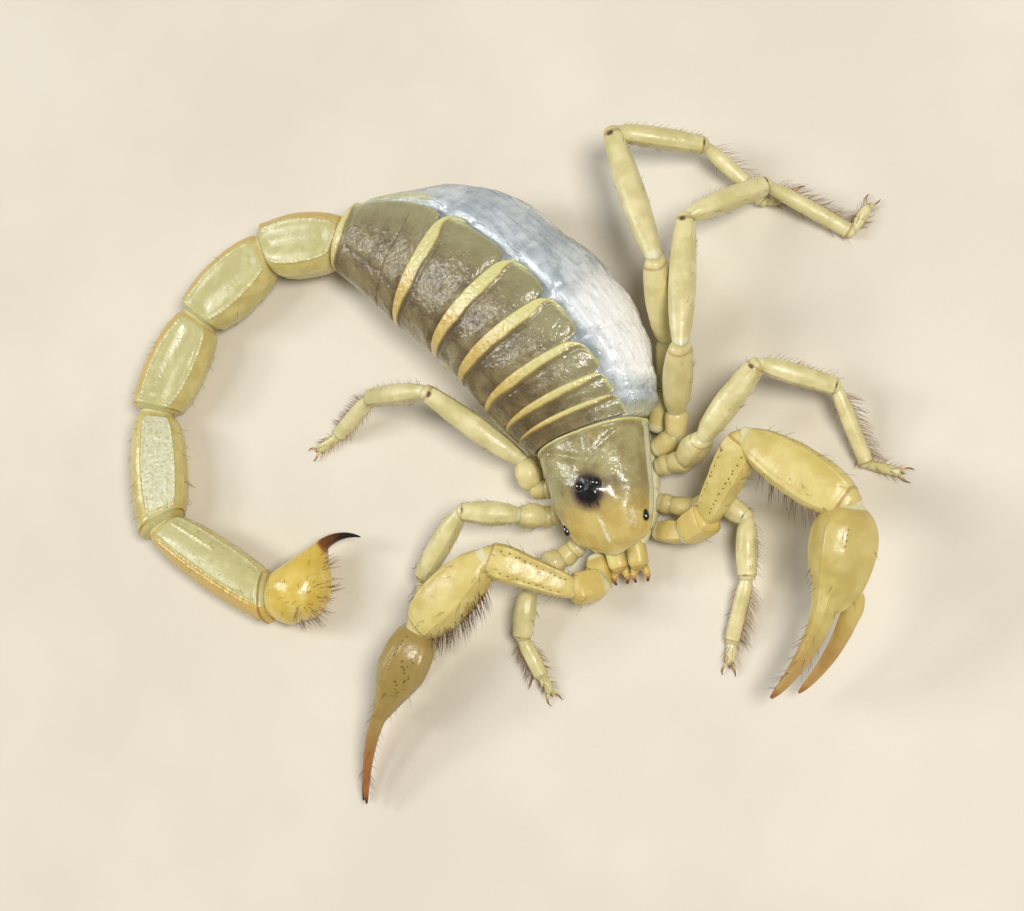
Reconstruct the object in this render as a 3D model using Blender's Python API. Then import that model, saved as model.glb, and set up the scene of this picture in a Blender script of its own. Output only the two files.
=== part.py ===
"""A desert hairy scorpion at life size, resting on the floor, as closed faceted solids.

The design is laid out in millimetres with x to the east, y to the north and z up. The head
looks south and a little east, so the animal's left is east. Bearings are degrees anticlockwise
from east, slopes are degrees above the floor.
"""

import bmesh
import bpy
from math import cos, pi, radians, sin
from mathutils import Vector

METRES_PER_MM = 0.001
GAP = 0.3
PLATE = 0.6
UP = Vector((0, 0, 1))

# The middle of the back edge of the carapace, and the shift that centres the model on the origin.
WAIST = Vector((11.0, 0.5, 0))
CENTRING = Vector((1.311, 2.042, 0))

# Stations of the trunk, from the carapace back to the tail: step from the station before,
# backward bearing of the path, bearing square to the section, half width, height of the back
# and of the belly, which rests flat where it would sink below the floor. The sections lag
# behind the path, because the body bends sideways.
TRUNK = [
    (0.0, 108, 108, 6.7, 9.6, 1.7),
    (1.9, 110, 110, 7.4, 10.4, 1.5),
    (2.1, 115, 113, 8.1, 11.4, 1.2),
    (3.5, 122, 117, 9.0, 12.7, 0.3),
    (5.2, 131, 122, 9.4, 13.4, -0.6),
    (5.8, 142, 130, 9.1, 13.0, -0.5),
    (8.6, 151, 147, 8.2, 11.4, 1.0),
    (12.0, 176, 160, 3.6, 7.7, 2.0),
]
# Edges of the back plates round the section at each station, in degrees from the top,
# the animal's left first. The bend draws the plates over to the right.
PLATE_LEFT = [50, 40, 34, 29, 27, 27, 30, 65]
PLATE_RIGHT = [-85, -92, -95, -97, -97, -97, -95, -85]
BELLY_LEFT = 128
BELLY_RIGHT = 246

# Carapace: distance in front of the waist, half width, height of the back.
CARAPACE = [
    (-0.6, 5.9, 9.3),
    (-3.5, 5.5, 9.3),
    (-6.5, 5.15, 9.1),
    (-9.0, 4.5, 8.0),
    (-11.0, 3.4, 6.6),
    (-12.3, 1.5, 5.0),
]
CARAPACE_RIM = 3.9
# Chest under it: distance ahead, half width, height of the underside.
CHEST = [
    (-0.7, 5.3, 1.6),
    (-3.5, 5.4, 1.0),
    (-6.5, 5.1, 1.0),
    (-9.0, 4.3, 1.3),
    (-10.3, 3.4, 1.8),
]
# Eyes: name, distance ahead, distance to the left, height, radius.
EYES = [
    ("eye_median_left", -6.0, 0.85, 9.2, 0.6),
    ("eye_median_right", -6.0, -0.85, 9.2, 0.6),
    ("eye_lateral_left", -9.2, 4.2, 5.8, 0.45),
    ("eye_lateral_right", -9.2, -4.2, 5.8, 0.45),
]
SOCKET_GAP = 0.1
# Combs under the waist: reach and half width of the blade.
PECTEN = [(0, 0.8), (2.5, 1.2), (4.8, 1.0), (6.2, 0.4)]
PECTEN_ANGLE = 50
PECTEN_HEIGHT = 0.65
PECTEN_HALF_DEPTH = 0.3
# Chelicerae: distance ahead, distance aside, half width, height.
CHELICERA_SHIFT = 0.6
CHELICERA = [
    (-10.7, 1.15, 0.8, 2.6),
    (-11.6, 1.15, 0.95, 2.6),
    (-13.0, 1.15, 0.95, 2.5),
    (-14.1, 1.0, 0.65, 2.2),
    (-14.8, 0.6, 0.3, 1.9),
]
# Bearing of the head's middle line, how far left of the waist it starts, and the bearings of its
# cross sections at the back and at the front.
HEAD_BEARING = -77
HEAD_SHIFT = -0.35
HEAD_TURN = (-72, -84)

# Tail lengths: length, bearing, greatest half width, half height, roll of the back into the curl.
TAIL_START = Vector((-18.3, 23.3, 4.6))
TAIL = [
    (9.4, 181, 3.4, 2.9, 4),
    (10.7, 219, 3.25, 2.9, 12),
    (11.4, 244, 3.15, 2.9, 18),
    (13.0, 277, 3.0, 2.9, 36),
    (15.8, 329, 2.75, 2.8, 80),
]
TAIL_HEIGHTS = [4.6, 4.0, 3.4, 2.95, 2.75, 2.75]
# Place along a tail length, and the share of its greatest size there.
TAIL_PROFILE = [(0.12, 0.84), (0.38, 0.98), (0.64, 1.0), (0.87, 0.93)]
TAIL_NECK = 0.66
TAIL_RIM = 0.84
# The telson's bulb: place along it, half width, depth over and under its axis.
VESICLE_LENGTH = 8.2
VESICLE_BEARING = 36
VESICLE_ROLL = 88
VESICLE = [
    (0.0, 1.6, 1.5, 2.0),
    (0.13, 2.5, 1.7, 3.9),
    (0.38, 3.1, 1.7, 4.8),
    (0.62, 2.8, 1.6, 4.2),
    (0.82, 1.9, 1.55, 2.5),
    (0.93, 1.2, 1.5, 0.6),
    (1.0, 0.7, 1.45, -0.35),
]
VESICLE_LIFT = 0.25
# Curved points: bearing at the root and at the tip, slope, length, radius at the root and at
# the tip, and width as a share of depth.
ARC_RINGS = 8
STING_RISE = 0.9
STING = (38, -18, 0, 4.3, 0.6, 0.15, 1.0)

# Each leg: where it leaves the chest, then length, bearing and slope of its coxa, trochanter,
# femur, patella, tibia, basitarsus and telotarsus. The knee is the end of the patella.
KNEE = 4
LEGS = {
    "L1": ((17.5, -6.1, 2.3), [(0.9, -14, 0), (2.4, -13, 0), (3.2, 10, 4), (3.2, -34, 2),
                               (5.8, -91, -9), (6.6, -107, -14), (2.2, -98, -8)]),
    "L2": ((17.4, -2.4, 2.8), [(0.9, 14, 6), (1.9, 5, 12), (4.3, 28, 47), (9.4, 48, 12),
                               (8.1, -14, -31), (8.2, -72, -25), (3.4, -16, -6)]),
    "L3": ((17.0, -0.5, 2.8), [(2.1, 29, 5), (2.6, 80, 25), (8.6, 66, 50), (13.6, 90.4, -4),
                               (9.5, 33, -32), (9.7, -30, -19), (3.2, 60, -8)]),
    "L4": ((16.6, 2.0, 2.2), [(3.6, 70, 16), (5.0, 86, 12), (9.4, 84, 46), (15.6, 111, -6),
                              (9.6, -4, -30), (8.4, -44, -24), (3.0, 12, -8)]),
    "R1": ((8.6, -10.4, 2.6), [(0.5, -150, 0), (1.4, -140, 5), (2.0, -150, 25), (3.0, -125, 5),
                               (4.8, -101, -12), (4.3, -66, -20), (1.9, -62, -8)]),
    "R2": ((6.7, -6.9, 2.6), [(0.8, 187, 0), (1.3, 190, 5), (2.8, 187, 60), (6.2, 178, 18),
                              (8.9, -132, -23), (7.2, -88, -18), (3.0, -120, -6)]),
    "R3": ((5.6, -4.2, 2.5), [(0.5, 192, 0), (1.4, 170, 5), (2.8, 108, 26), (12.6, 144, 21),
                              (8.9, 176, -25), (6.8, -150, -31), (3.0, -150, -8)]),
    "R4": ((5.9, -1.8, 1.35), [(0.5, 142, 0), (3.0, 142, 0), (9.0, 132.5, 1), (11.0, 135, 0),
                               (9.6, 135.5, -1), (8.0, 138, -1), (3.0, 185, -3)]),
}
# Half widths of the seven lengths of a leg, for the first pair and for the last pair.
LEG_WIDTHS_FIRST = (1.15, 1.15, 1.3, 1.25, 1.15, 0.85, 0.55)
LEG_WIDTHS_LAST = (1.25, 1.25, 1.5, 1.4, 1.2, 0.92, 0.6)
# Place along a limb length and share of its size there, then shares at its ends and joints.
SHORT_PROFILE = [(0.5, 1.0)]
LONG_PROFILE = [(0.25, 0.95), (0.7, 1.0)]
LIMB_END = 0.75
LIMB_JOINT = 0.85
LEG_DEPTH = 1.05
FOOT_HEIGHT = 0.3
HEEL_HEIGHT = 0.8

# Pedipalps: start, then length, bearing and slope of coxa, trochanter, femur, patella, palm.
PALPS = {
    "L": ((17.2, -9.0, 2.3), [(3.6, -6, 21), (3.3, 21, 33), (9.7, 52, 28),
                              (12.25, -34, 1), (9.4, -100, -10)]),
    "R": ((10.7, -11.7, 2.4), [(2.8, -73, 16), (2.8, -159, 35), (9.4, 161, 25),
                               (10.4, -139.5, -12), (9.9, -121.5, -13.5)]),
}
# Half width and half height of the same five lengths.
PALP_SIZES = [(1.15, 1.15), (1.55, 1.55), (1.7, 1.6), (2.5, 2.3), (3.15, 2.6)]
# Claws: place along the palm, shares of its width and height there, and shift towards the fixed
# finger; the roll of each palm; where each finger starts along the palm and aside; the fingers.
WRIST_SIZE = (1.4, 1.3)
PALM_PROFILE = [
    (0.12, 0.78, 0.8, 0),
    (0.3, 0.98, 0.99, 0),
    (0.46, 1.0, 1.0, 0),
    (0.62, 0.96, 0.86, 0),
    (0.77, 0.87, 0.66, 0.1),
    (0.92, 0.7, 0.48, 0.45),
]
FIXED_ROOT = (0.8, 1.1)
MOVABLE_ROOT = (-0.2, 1.95)
CLAW_ROLL = {"L": 45, "R": 115}
FIXED_FINGER = {
    "L": (-112, -141, -17, 10.4, 0.85, 0.25, 1.45),
    "R": (-118, -93, -21, 9.2, 0.85, 0.25, 1.45),
}
MOVABLE_FINGER = {
    "L": (-114, -143, -20, 10.6, 0.85, 0.25, 1.25),
    "R": (-117, -94, -11, 9.9, 0.85, 0.25, 1.3),
}

PLATE_COLUMNS = 8
BELLY_COLUMNS = 6
COLOUR = {
    "shell": (0.42, 0.33, 0.13),
    "plate": (0.24, 0.20, 0.09),
    "skin": (0.62, 0.62, 0.56),
    "tail": (0.60, 0.43, 0.15),
    "leg": (0.68, 0.58, 0.33),
    "finger": (0.45, 0.22, 0.07),
    "black": (0.02, 0.015, 0.01),
}


def direction(bearing, slope=0.0):
    flat = cos(radians(slope))
    turn = radians(bearing)
    return Vector((flat * cos(turn), flat * sin(turn), sin(radians(slope))))


def walk(start, steps):
    points = [Vector(start)]
    for length, bearing, slope in steps:
        points.append(points[-1] + length * direction(bearing, slope))
    return points


def blend(values, place):
    """Catmull-Rom value of an even list at a fractional place."""
    index = min(int(place), len(values) - 2)
    t = place - index
    b, c = values[index], values[index + 1]
    a = values[index - 1] if index > 0 else 2 * b - c
    d = values[index + 2] if index + 2 < len(values) else 2 * c - b
    square = (2 * a - 5 * b + 4 * c - d) * t**2
    cube = (3 * b - 3 * c + d - a) * t**3
    return 0.5 * (2 * b + (c - a) * t + square + cube)


def trunk_centres():
    centres = [WAIST]
    for before, after in zip(TRUNK, TRUNK[1:]):
        centres.append(centres[-1] + after[0] * direction((before[1] + after[1]) / 2))
    return centres


TRUNK_CENTRES = trunk_centres()


def trunk_point(place, angle, sunk):
    """A point of the trunk at a station and an angle from the top, sunk below its surface."""
    centre = blend(TRUNK_CENTRES, place)
    _, _, bearing, half_width, top, bottom = [blend(values, place) for values in zip(*TRUNK)]
    left = direction(bearing - 90)
    half_height = (top - bottom) / 2
    middle = (top + bottom) / 2
    point = centre + left * (half_width - sunk) * sin(radians(angle))
    point.z = max(middle + (half_height - sunk) * cos(radians(angle)), sunk, 0)
    return point


def spread(first, last, count):
    return [first + (last - first) * i / (count - 1) for i in range(count)]


def coloured(piece, colour, roughness=0.35):
    """Gives the object a material of its own."""
    material = bpy.data.materials.new(piece.name)
    material.use_nodes = True
    shader = material.node_tree.nodes["Principled BSDF"]
    shader.inputs["Base Color"].default_value = (*colour, 1)
    shader.inputs["Roughness"].default_value = roughness
    shader.inputs["Metallic"].default_value = 0.0
    piece.data.materials.append(material)
    return piece


def mesh_object(name, vertices, faces, colour):
    """A named object of one closed smooth mesh, with its faces pointing out."""
    mesh = bpy.data.meshes.new(name)
    mesh.from_pydata([(v + CENTRING) * METRES_PER_MM for v in vertices], [], faces)
    shaped = bmesh.new()
    shaped.from_mesh(mesh)
    bmesh.ops.recalc_face_normals(shaped, faces=shaped.faces)
    shaped.to_mesh(mesh)
    shaped.free()
    mesh.shade_smooth()
    mesh.set_sharp_from_angle(angle=radians(50))
    piece = bpy.data.objects.new(name, mesh)
    bpy.context.scene.collection.objects.link(piece)
    return coloured(piece, colour)


def loft(name, rings, colour):
    """A skin over closed rings of equal count, with each end closed by a fan."""
    count = len(rings[0])
    vertices = [point for ring in rings for point in ring]
    faces = []
    for row in range(len(rings) - 1):
        for i in range(count):
            j = (i + 1) % count
            low, high = row * count, (row + 1) * count
            faces.append((low + i, low + j, high + j, high + i))
    for row in (0, len(rings) - 1):
        hub = len(vertices)
        vertices.append(sum(rings[row], Vector()) / count)
        faces += [(hub, row * count + i, row * count + (i + 1) % count) for i in range(count)]
    return mesh_object(name, vertices, faces, colour)


def shell(name, outer, inner, colour):
    """A plate between two grids of points with the same rows and columns."""
    rows, columns = len(outer), len(outer[0])
    vertices = [point for grid in (outer, inner) for row in grid for point in row]
    under = rows * columns
    faces = []
    for row in range(rows - 1):
        for column in range(columns - 1):
            corner = row * columns + column
            quad = (corner, corner + 1, corner + columns + 1, corner + columns)
            faces += [quad, tuple(under + index for index in quad)]
    rim = [column for column in range(columns)]
    rim += [row * columns + columns - 1 for row in range(1, rows)]
    rim += [(rows - 1) * columns + column for column in reversed(range(columns - 1))]
    rim += [row * columns for row in reversed(range(1, rows - 1))]
    for here, after in zip(rim, rim[1:] + rim[:1]):
        faces.append((here, after, under + after, under + here))
    return mesh_object(name, vertices, faces, colour)


def section(centre, along, up, half_width, half_height, sides=10, power=2.4):
    """A rounded ring square to a limb."""
    left = up.cross(along).normalized()
    above = along.cross(left).normalized()
    ring = []
    for i in range(sides):
        side, lift = sin(2 * pi * i / sides), cos(2 * pi * i / sides)
        across = half_width * abs(side) ** (2 / power) * (1 if side > 0 else -1)
        raised = half_height * abs(lift) ** (2 / power) * (1 if lift > 0 else -1)
        ring.append(centre + left * across + above * raised)
    return ring


def slid(ring, along, on_plane, normal):
    """The ring's points slid along the limb until they lie in a plane."""
    return [p + along * ((on_plane - p).dot(normal) / along.dot(normal)) for p in ring]


def on_floor(rings):
    return [[Vector((p.x, p.y, max(p.z, 0))) for p in ring] for ring in rings]


def plate_angles(place):
    return spread(blend(PLATE_LEFT, place), blend(PLATE_RIGHT, place), PLATE_COLUMNS)


def belly_angles(place):
    return spread(BELLY_RIGHT - 360, BELLY_LEFT - 360, BELLY_COLUMNS)


def abdomen():
    """The soft trunk under the plates, bare down the left side."""
    rings = []
    for place in spread(0.1, 6.98, 15):
        back = plate_angles(place)
        belly = belly_angles(place)
        right = (back[-1] + belly[0]) / 2
        left = spread(belly[-1], back[0] - 360, 6)[1:-1]
        under = PLATE + GAP
        ring = [trunk_point(place, angle, under) for angle in back]
        ring.append(trunk_point(place, right, 0.2))
        ring += [trunk_point(place, angle, under) for angle in belly]
        ring += [trunk_point(place, angle, 0) for angle in left]
        rings.append(ring)
    loft("abdomen", rings, COLOUR["skin"])


def trunk_plate(name, first, last, angles_at, colour):
    """A plate over one stretch of the trunk, its back edge a little proud."""
    step = TRUNK[last][0]
    margin = GAP / 2 / step
    rows = max(2, round(step / 3) + 1)
    outer, inner = [], []
    for place in spread(first + margin, last - margin, rows):
        lift = 0.15 * (place - first)
        angles = angles_at(place)
        outer.append([trunk_point(place, angle, -lift) for angle in angles])
        inner.append([trunk_point(place, angle, PLATE) for angle in angles])
    shell(name, outer, inner, colour)


def trunk():
    abdomen()
    for number in range(1, 8):
        trunk_plate(f"tergite_{number}", number - 1, number, plate_angles, COLOUR["plate"])
    for number in range(3, 8):
        trunk_plate(f"sternite_{number}", number - 1, number, belly_angles, COLOUR["shell"])


def prosoma_place(ahead):
    """The middle of the head some way in front of the waist, and its left."""
    share = ahead / CARAPACE[-1][0]
    turn = HEAD_TURN[0] + (HEAD_TURN[1] - HEAD_TURN[0]) * share
    middle = WAIST + direction(HEAD_BEARING + 90) * HEAD_SHIFT - ahead * direction(HEAD_BEARING)
    return middle, direction(turn + 90)


def carapace():
    rings = []
    for ahead, half_width, top in CARAPACE:
        centre, left = prosoma_place(ahead)
        ring = []
        for angle in spread(-90, 90, 13):
            side, lift = sin(radians(angle)), cos(radians(angle))
            across = half_width * abs(side) ** 0.85 * (1 if side > 0 else -1)
            height = CARAPACE_RIM + (top - CARAPACE_RIM) * max(lift, 0) ** 0.75
            ring.append(centre + left * across + UP * height)
        rings.append(ring)
    return loft("carapace", rings, COLOUR["shell"])


def ball(name, centre, radius):
    bpy.ops.mesh.primitive_uv_sphere_add(
        segments=12,
        ring_count=8,
        radius=radius * METRES_PER_MM,
        location=(centre + CENTRING) * METRES_PER_MM,
    )
    sphere = bpy.context.object
    sphere.name = name
    sphere.data.name = name
    sphere.data.shade_smooth()
    return sphere


def eyes(shield):
    """Round eyes let into the head shield, each in a socket with a thin gap."""
    for name, ahead, aside, height, radius in EYES:
        centre, left = prosoma_place(ahead)
        place = centre + left * aside + UP * height
        coloured(ball(name, place, radius), COLOUR["black"], 0.08)
        socket = ball(name + "_socket", place, radius + SOCKET_GAP)
        socket.hide_render = True
        socket.display_type = "WIRE"
        cut = shield.modifiers.new(name, "BOOLEAN")
        cut.operation = "DIFFERENCE"
        cut.object = socket


def chest():
    """The hips and breastbone under the head shield."""
    rings = []
    for ahead, half_width, bottom in CHEST:
        centre, left = prosoma_place(ahead)
        forward = left.cross(UP)
        top = CARAPACE_RIM - GAP
        centre.z = (top + bottom) / 2
        rings.append(section(centre, forward, UP, half_width, (top - bottom) / 2, 12, 3.5))
    loft("coxosternum", rings, COLOUR["leg"])


def chelicerae():
    for side, sign in (("L", 1), ("R", -1)):
        rings = []
        for ahead, aside, width, height in CHELICERA:
            centre, left = prosoma_place(ahead)
            middle = centre + left * (sign * aside + CHELICERA_SHIFT) + UP * height
            rings.append(section(middle, left.cross(UP), UP, width, width * 0.85, 8))
        loft(f"chelicera_{side}", rings, COLOUR["shell"])


def pectines():
    """The two combs under the waist, as flat blades."""
    back = TRUNK[0][2]
    for side, sign in (("L", 1), ("R", -1)):
        hub = WAIST + direction(back) * 0.9 + direction(back - 90) * sign * 0.9
        along = direction(back - sign * PECTEN_ANGLE)
        across = direction(back - sign * PECTEN_ANGLE + 90)
        rings = []
        for reach, half in PECTEN:
            middle = hub + along * reach + UP * PECTEN_HEIGHT
            ring = []
            for a, b in ((1, 1), (1, -1), (-1, -1), (-1, 1)):
                ring.append(middle + across * half * a + UP * PECTEN_HALF_DEPTH * b)
            rings.append(ring)
        loft(f"pecten_{side}", rings, COLOUR["leg"])


def tail_joints():
    points = [TAIL_START]
    for length, bearing, *_ in TAIL:
        points.append(points[-1] + length * direction(bearing))
    for point, height in zip(points, TAIL_HEIGHTS):
        point.z = height
    return points


def tail():
    """Five lengths on a curve, each with a narrow neck, a swollen body and a rim."""
    points = tail_joints()
    ways = [(b - a).normalized() for a, b in zip(points, points[1:])]
    ways.append(direction(VESICLE_BEARING))
    first = direction(TRUNK[-1][2])
    for i, (_, bearing, half_width, half_height, roll) in enumerate(TAIL):
        way = ways[i]
        up = UP * cos(radians(roll)) + direction(bearing + 90) * sin(radians(roll))
        last = (way + ways[i + 1]).normalized()
        start = points[i] + first * GAP / 2
        stop = points[i + 1] - last * GAP / 2
        neck = section(start, way, up, half_width * TAIL_NECK, half_height * TAIL_NECK)
        rim = section(stop, way, up, half_width * TAIL_RIM, half_height * TAIL_RIM)
        rings = [slid(neck, way, start, first)]
        for place, share in TAIL_PROFILE:
            centre = points[i].lerp(points[i + 1], place)
            rings.append(section(centre, way, up, half_width * share, half_height * share))
        rings.append(slid(rim, way, stop, last))
        loft(f"metasoma_{i + 1}", on_floor(rings), COLOUR["tail"])
        first = last


def telson():
    """The bulb, lying on its side, and the sting that bends back over it."""
    way = direction(VESICLE_BEARING)
    roll = radians(VESICLE_ROLL)
    up = UP * cos(roll) + direction(VESICLE_BEARING + 90) * sin(roll)
    face = (direction(TAIL[-1][1]) + way).normalized()
    root = tail_joints()[-1] + face * GAP / 2 + UP * VESICLE_LIFT
    rings = []
    for place, half_width, over, under in VESICLE:
        centre = root + way * VESICLE_LENGTH * place + up * (over - under) / 2
        ring = section(centre, way, up, half_width, (over + under) / 2)
        rings.append(slid(ring, way, centre, face) if place == 0 else ring)
    loft("telson_vesicle", on_floor(rings), COLOUR["tail"])
    rings = arc_rings(root + way * (VESICLE_LENGTH + GAP) + up * STING_RISE, STING, 8)
    loft("aculeus", rings, COLOUR["black"])


def arc_rings(root, arc, sides, up=UP):
    """A tapered point along an arc, as wide for its depth as the arc's flatness."""
    first, last, slope, length, base, tip, flat = arc
    rings = []
    point = Vector(root)
    for share in spread(0, 1, ARC_RINGS):
        way = direction(first + (last - first) * share, slope)
        size = base + (tip - base) * share
        rings.append(section(point, way, up, size * flat, size, sides, 2.2))
        point = point + way * length / (ARC_RINGS - 1)
    return rings


def limb(name, points, sizes, colour, before=None, after=None, sides=8, floor=False):
    """One solid along joined lengths, mitred at each joint, with a thin gap at each end."""
    ways = [(b - a).normalized() for a, b in zip(points, points[1:])]
    first = (before + ways[0]).normalized() if before else ways[0]
    last = (ways[-1] + after).normalized() if after else ways[-1]
    start, stop = points[0] + first * GAP / 2, points[-1] - last * GAP / 2
    width, height = [size * LIMB_END for size in sizes[0]]
    rings = [slid(section(start, ways[0], UP, width, height, sides), ways[0], start, first)]
    for i, way in enumerate(ways):
        width, height = sizes[i]
        short = (points[i + 1] - points[i]).length < 4
        for place, share in SHORT_PROFILE if short else LONG_PROFILE:
            centre = points[i].lerp(points[i + 1], place)
            rings.append(section(centre, way, UP, width * share, height * share, sides))
        if i + 1 < len(ways):
            width, height = [LIMB_JOINT * min(pair) for pair in zip(sizes[i], sizes[i + 1])]
            ring = section(points[i + 1], way, UP, width, height, sides)
            rings.append(slid(ring, way, points[i + 1], (way + ways[i + 1]).normalized()))
    width, height = [size * LIMB_END for size in sizes[-1]]
    rings.append(slid(section(stop, ways[-1], UP, width, height, sides), ways[-1], stop, last))
    loft(name, on_floor(rings) if floor else rings, colour)


def leg_points(start, steps):
    """The joints of a leg, sheared so that its heel and toe stand on the floor."""
    points = walk(start, steps)
    heel = len(points) - 2
    fall = HEEL_HEIGHT - points[heel].z
    for i in range(2, heel + 1):
        points[i].z += fall * (i - 1) / (heel - 1)
    points[-1].z = FOOT_HEIGHT
    return points


def legs():
    """Each leg in two solids, parted at the knee between patella and tibia."""
    for name, (start, steps) in LEGS.items():
        points = leg_points(start, steps)
        share = (int(name[1]) - 1) / 3
        halves = [a + (b - a) * share for a, b in zip(LEG_WIDTHS_FIRST, LEG_WIDTHS_LAST)]
        sizes = [(half, half * LEG_DEPTH) for half in halves]
        shin = (points[KNEE + 1] - points[KNEE]).normalized()
        thigh = (points[KNEE] - points[KNEE - 1]).normalized()
        upper, lower = points[: KNEE + 1], points[KNEE:]
        limb(f"leg_{name}_upper", upper, sizes[:KNEE], COLOUR["leg"], after=shin, floor=True)
        limb(f"leg_{name}_lower", lower, sizes[KNEE:], COLOUR["leg"], before=thigh, floor=True)


def pedipalps():
    for side, (start, steps) in PALPS.items():
        points = walk(start, steps)
        ways = [(b - a).normalized() for a, b in zip(points, points[1:])]
        limb(f"palp_{side}_base", points[:3], PALP_SIZES[:2], COLOUR["leg"], after=ways[2])
        for number, part in ((2, "femur"), (3, "patella")):
            ends, size = points[number : number + 2], PALP_SIZES[number : number + 1]
            around = ways[number - 1], ways[number + 1]
            limb(f"palp_{side}_{part}", ends, size, COLOUR["tail"], *around, sides=10)
        chela(side, points[4], points[5], ways[3])


def chela(side, wrist, knuckle, before):
    """The palm with its fixed finger as one solid, and the movable finger beside it."""
    way = (knuckle - wrist).normalized()
    face = (before + way).normalized()
    left = UP.cross(way).normalized()
    roll = radians(CLAW_ROLL[side])
    apart = left * cos(roll) - UP * sin(roll)
    up = way.cross(apart).normalized()
    half_width, half_height = PALP_SIZES[4]
    start = wrist + face * GAP / 2
    rings = [slid(section(start, way, up, *WRIST_SIZE), way, start, face)]
    for place, wide, high, shift in PALM_PROFILE:
        centre = wrist.lerp(knuckle, place) - apart * shift
        rings.append(section(centre, way, up, half_width * wide, half_height * high))
    root = knuckle + way * FIXED_ROOT[0] - apart * FIXED_ROOT[1]
    rings += arc_rings(root, FIXED_FINGER[side], 10, up)
    loft(f"palp_{side}_chela", rings, COLOUR["tail"])
    root = knuckle + way * MOVABLE_ROOT[0] + apart * MOVABLE_ROOT[1]
    loft(f"palp_{side}_finger", arc_rings(root, MOVABLE_FINGER[side], 8, up), COLOUR["finger"])


def clear_scene():
    for piece in list(bpy.data.objects):
        bpy.data.objects.remove(piece, do_unlink=True)


def main():
    clear_scene()
    trunk()
    shield = carapace()
    eyes(shield)
    chest()
    chelicerae()
    pectines()
    tail()
    telson()
    legs()
    pedipalps()


main()
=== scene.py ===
"""The looks of the life-size desert hairy scorpion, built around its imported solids.

Shapes are laid out in millimetres as the solids are, x to the east, y to the north, z up, with
the animal's left to the east. Bearings are degrees anticlockwise from east.
"""
import bpy
import numpy as np
from mathutils import Matrix


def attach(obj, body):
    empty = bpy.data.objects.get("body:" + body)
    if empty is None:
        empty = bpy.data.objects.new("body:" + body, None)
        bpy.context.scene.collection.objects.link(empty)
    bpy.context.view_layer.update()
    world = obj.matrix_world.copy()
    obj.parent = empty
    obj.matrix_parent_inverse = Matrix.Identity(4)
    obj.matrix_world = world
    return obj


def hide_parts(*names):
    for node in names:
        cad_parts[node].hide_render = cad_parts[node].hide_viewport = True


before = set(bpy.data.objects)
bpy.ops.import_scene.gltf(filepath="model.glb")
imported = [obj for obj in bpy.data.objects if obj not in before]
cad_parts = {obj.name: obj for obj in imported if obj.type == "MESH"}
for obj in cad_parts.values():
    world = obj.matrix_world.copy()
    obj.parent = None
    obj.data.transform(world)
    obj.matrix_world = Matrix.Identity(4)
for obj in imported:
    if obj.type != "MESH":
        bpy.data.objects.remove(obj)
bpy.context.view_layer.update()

MM = 0.001
CENTRING = np.array([1.311, 2.042, 0.0])
UP = np.array([0.0, 0.0, 1.0])
IMAGE_WIDTH = 1024


# ---------------------------------------------------------------- numbers and vectors
def direction(bearing, slope=0.0):
    """A unit vector towards a bearing, rising by a slope; both are in degrees."""
    turn, tilt = np.radians(bearing), np.radians(slope)
    flat = np.cos(tilt)
    return np.stack(np.broadcast_arrays(flat * np.cos(turn), flat * np.sin(turn), np.sin(tilt)), -1)


def unit(vectors):
    """The same directions, one long."""
    return vectors / np.maximum(np.linalg.norm(vectors, axis=-1, keepdims=True), 1e-12)


def smooth(value, low, high):
    """From 0 at low to 1 at high, with soft ends; low may be the greater one."""
    t = np.clip((value - low) / (high - low), 0, 1)
    return t * t * (3 - 2 * t)


def between(value, start, full, end, over):
    """1 from full to over, and 0 before start and after end."""
    return smooth(value, start, full) * smooth(value, end, over)


def hill(value, centre, width):
    """1 at the centre, falling away to 0 on both sides."""
    return np.exp(-(((value - centre) / width) ** 2))


def sin_cos(angle):
    """The shares of a radius towards the left and the top, for degrees from the top."""
    turn = np.radians(angle)
    return np.sin(turn), np.cos(turn)


def bulge(value, power):
    """A sine or cosine drawn outwards, so that a round section becomes a squarer one."""
    return np.sign(value) * np.abs(value) ** power


def blend(values, place):
    """Catmull-Rom value of an even list at fractional places."""
    values = np.asarray(values, float)
    place = np.asarray(place, float)
    top = len(values) - 1
    index = np.clip(place.astype(int), 0, top - 1)
    t = place - index
    t = t.reshape(t.shape + (1,) * (values.ndim - 1))
    b, c = values[index], values[index + 1]
    a = np.where((index > 0).reshape(t.shape), values[np.maximum(index - 1, 0)], 2 * b - c)
    d = values[np.minimum(index + 2, top)]
    d = np.where((index + 2 <= top).reshape(t.shape), d, 2 * c - b)
    square = (2 * a - 5 * b + 4 * c - d) * t**2
    cube = (3 * b - 3 * c + d - a) * t**3
    return 0.5 * (2 * b + (c - a) * t + square + cube)


def curve(knots, at):
    """Smooth monotone curves through rows of (place, value, ...), evaluated at places."""
    knots = np.asarray(knots, float)
    x, y = knots[:, 0], knots[:, 1:]
    step = np.diff(x)[:, None]
    slope = np.diff(y, axis=0) / step
    inner = slope[:-1] * slope[1:]
    mean = 2 * inner / np.where(np.abs(slope[:-1] + slope[1:]) < 1e-9, 1, slope[:-1] + slope[1:])
    mean = np.where(inner > 0, mean, 0)
    tangent = np.vstack([slope[:1], mean, slope[-1:]])
    at = np.clip(at, x[0], x[-1])
    index = np.clip(np.searchsorted(x, at, side="right") - 1, 0, len(x) - 2)
    h = step[index]
    t = ((at - x[index])[..., None]) / h
    low, high = y[index], y[index + 1]
    return (
        low * (1 + 2 * t) * (1 - t) ** 2
        + tangent[index] * h * t * (1 - t) ** 2
        + high * t**2 * (3 - 2 * t)
        - tangent[index + 1] * h * t**2 * (1 - t)
    )


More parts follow.
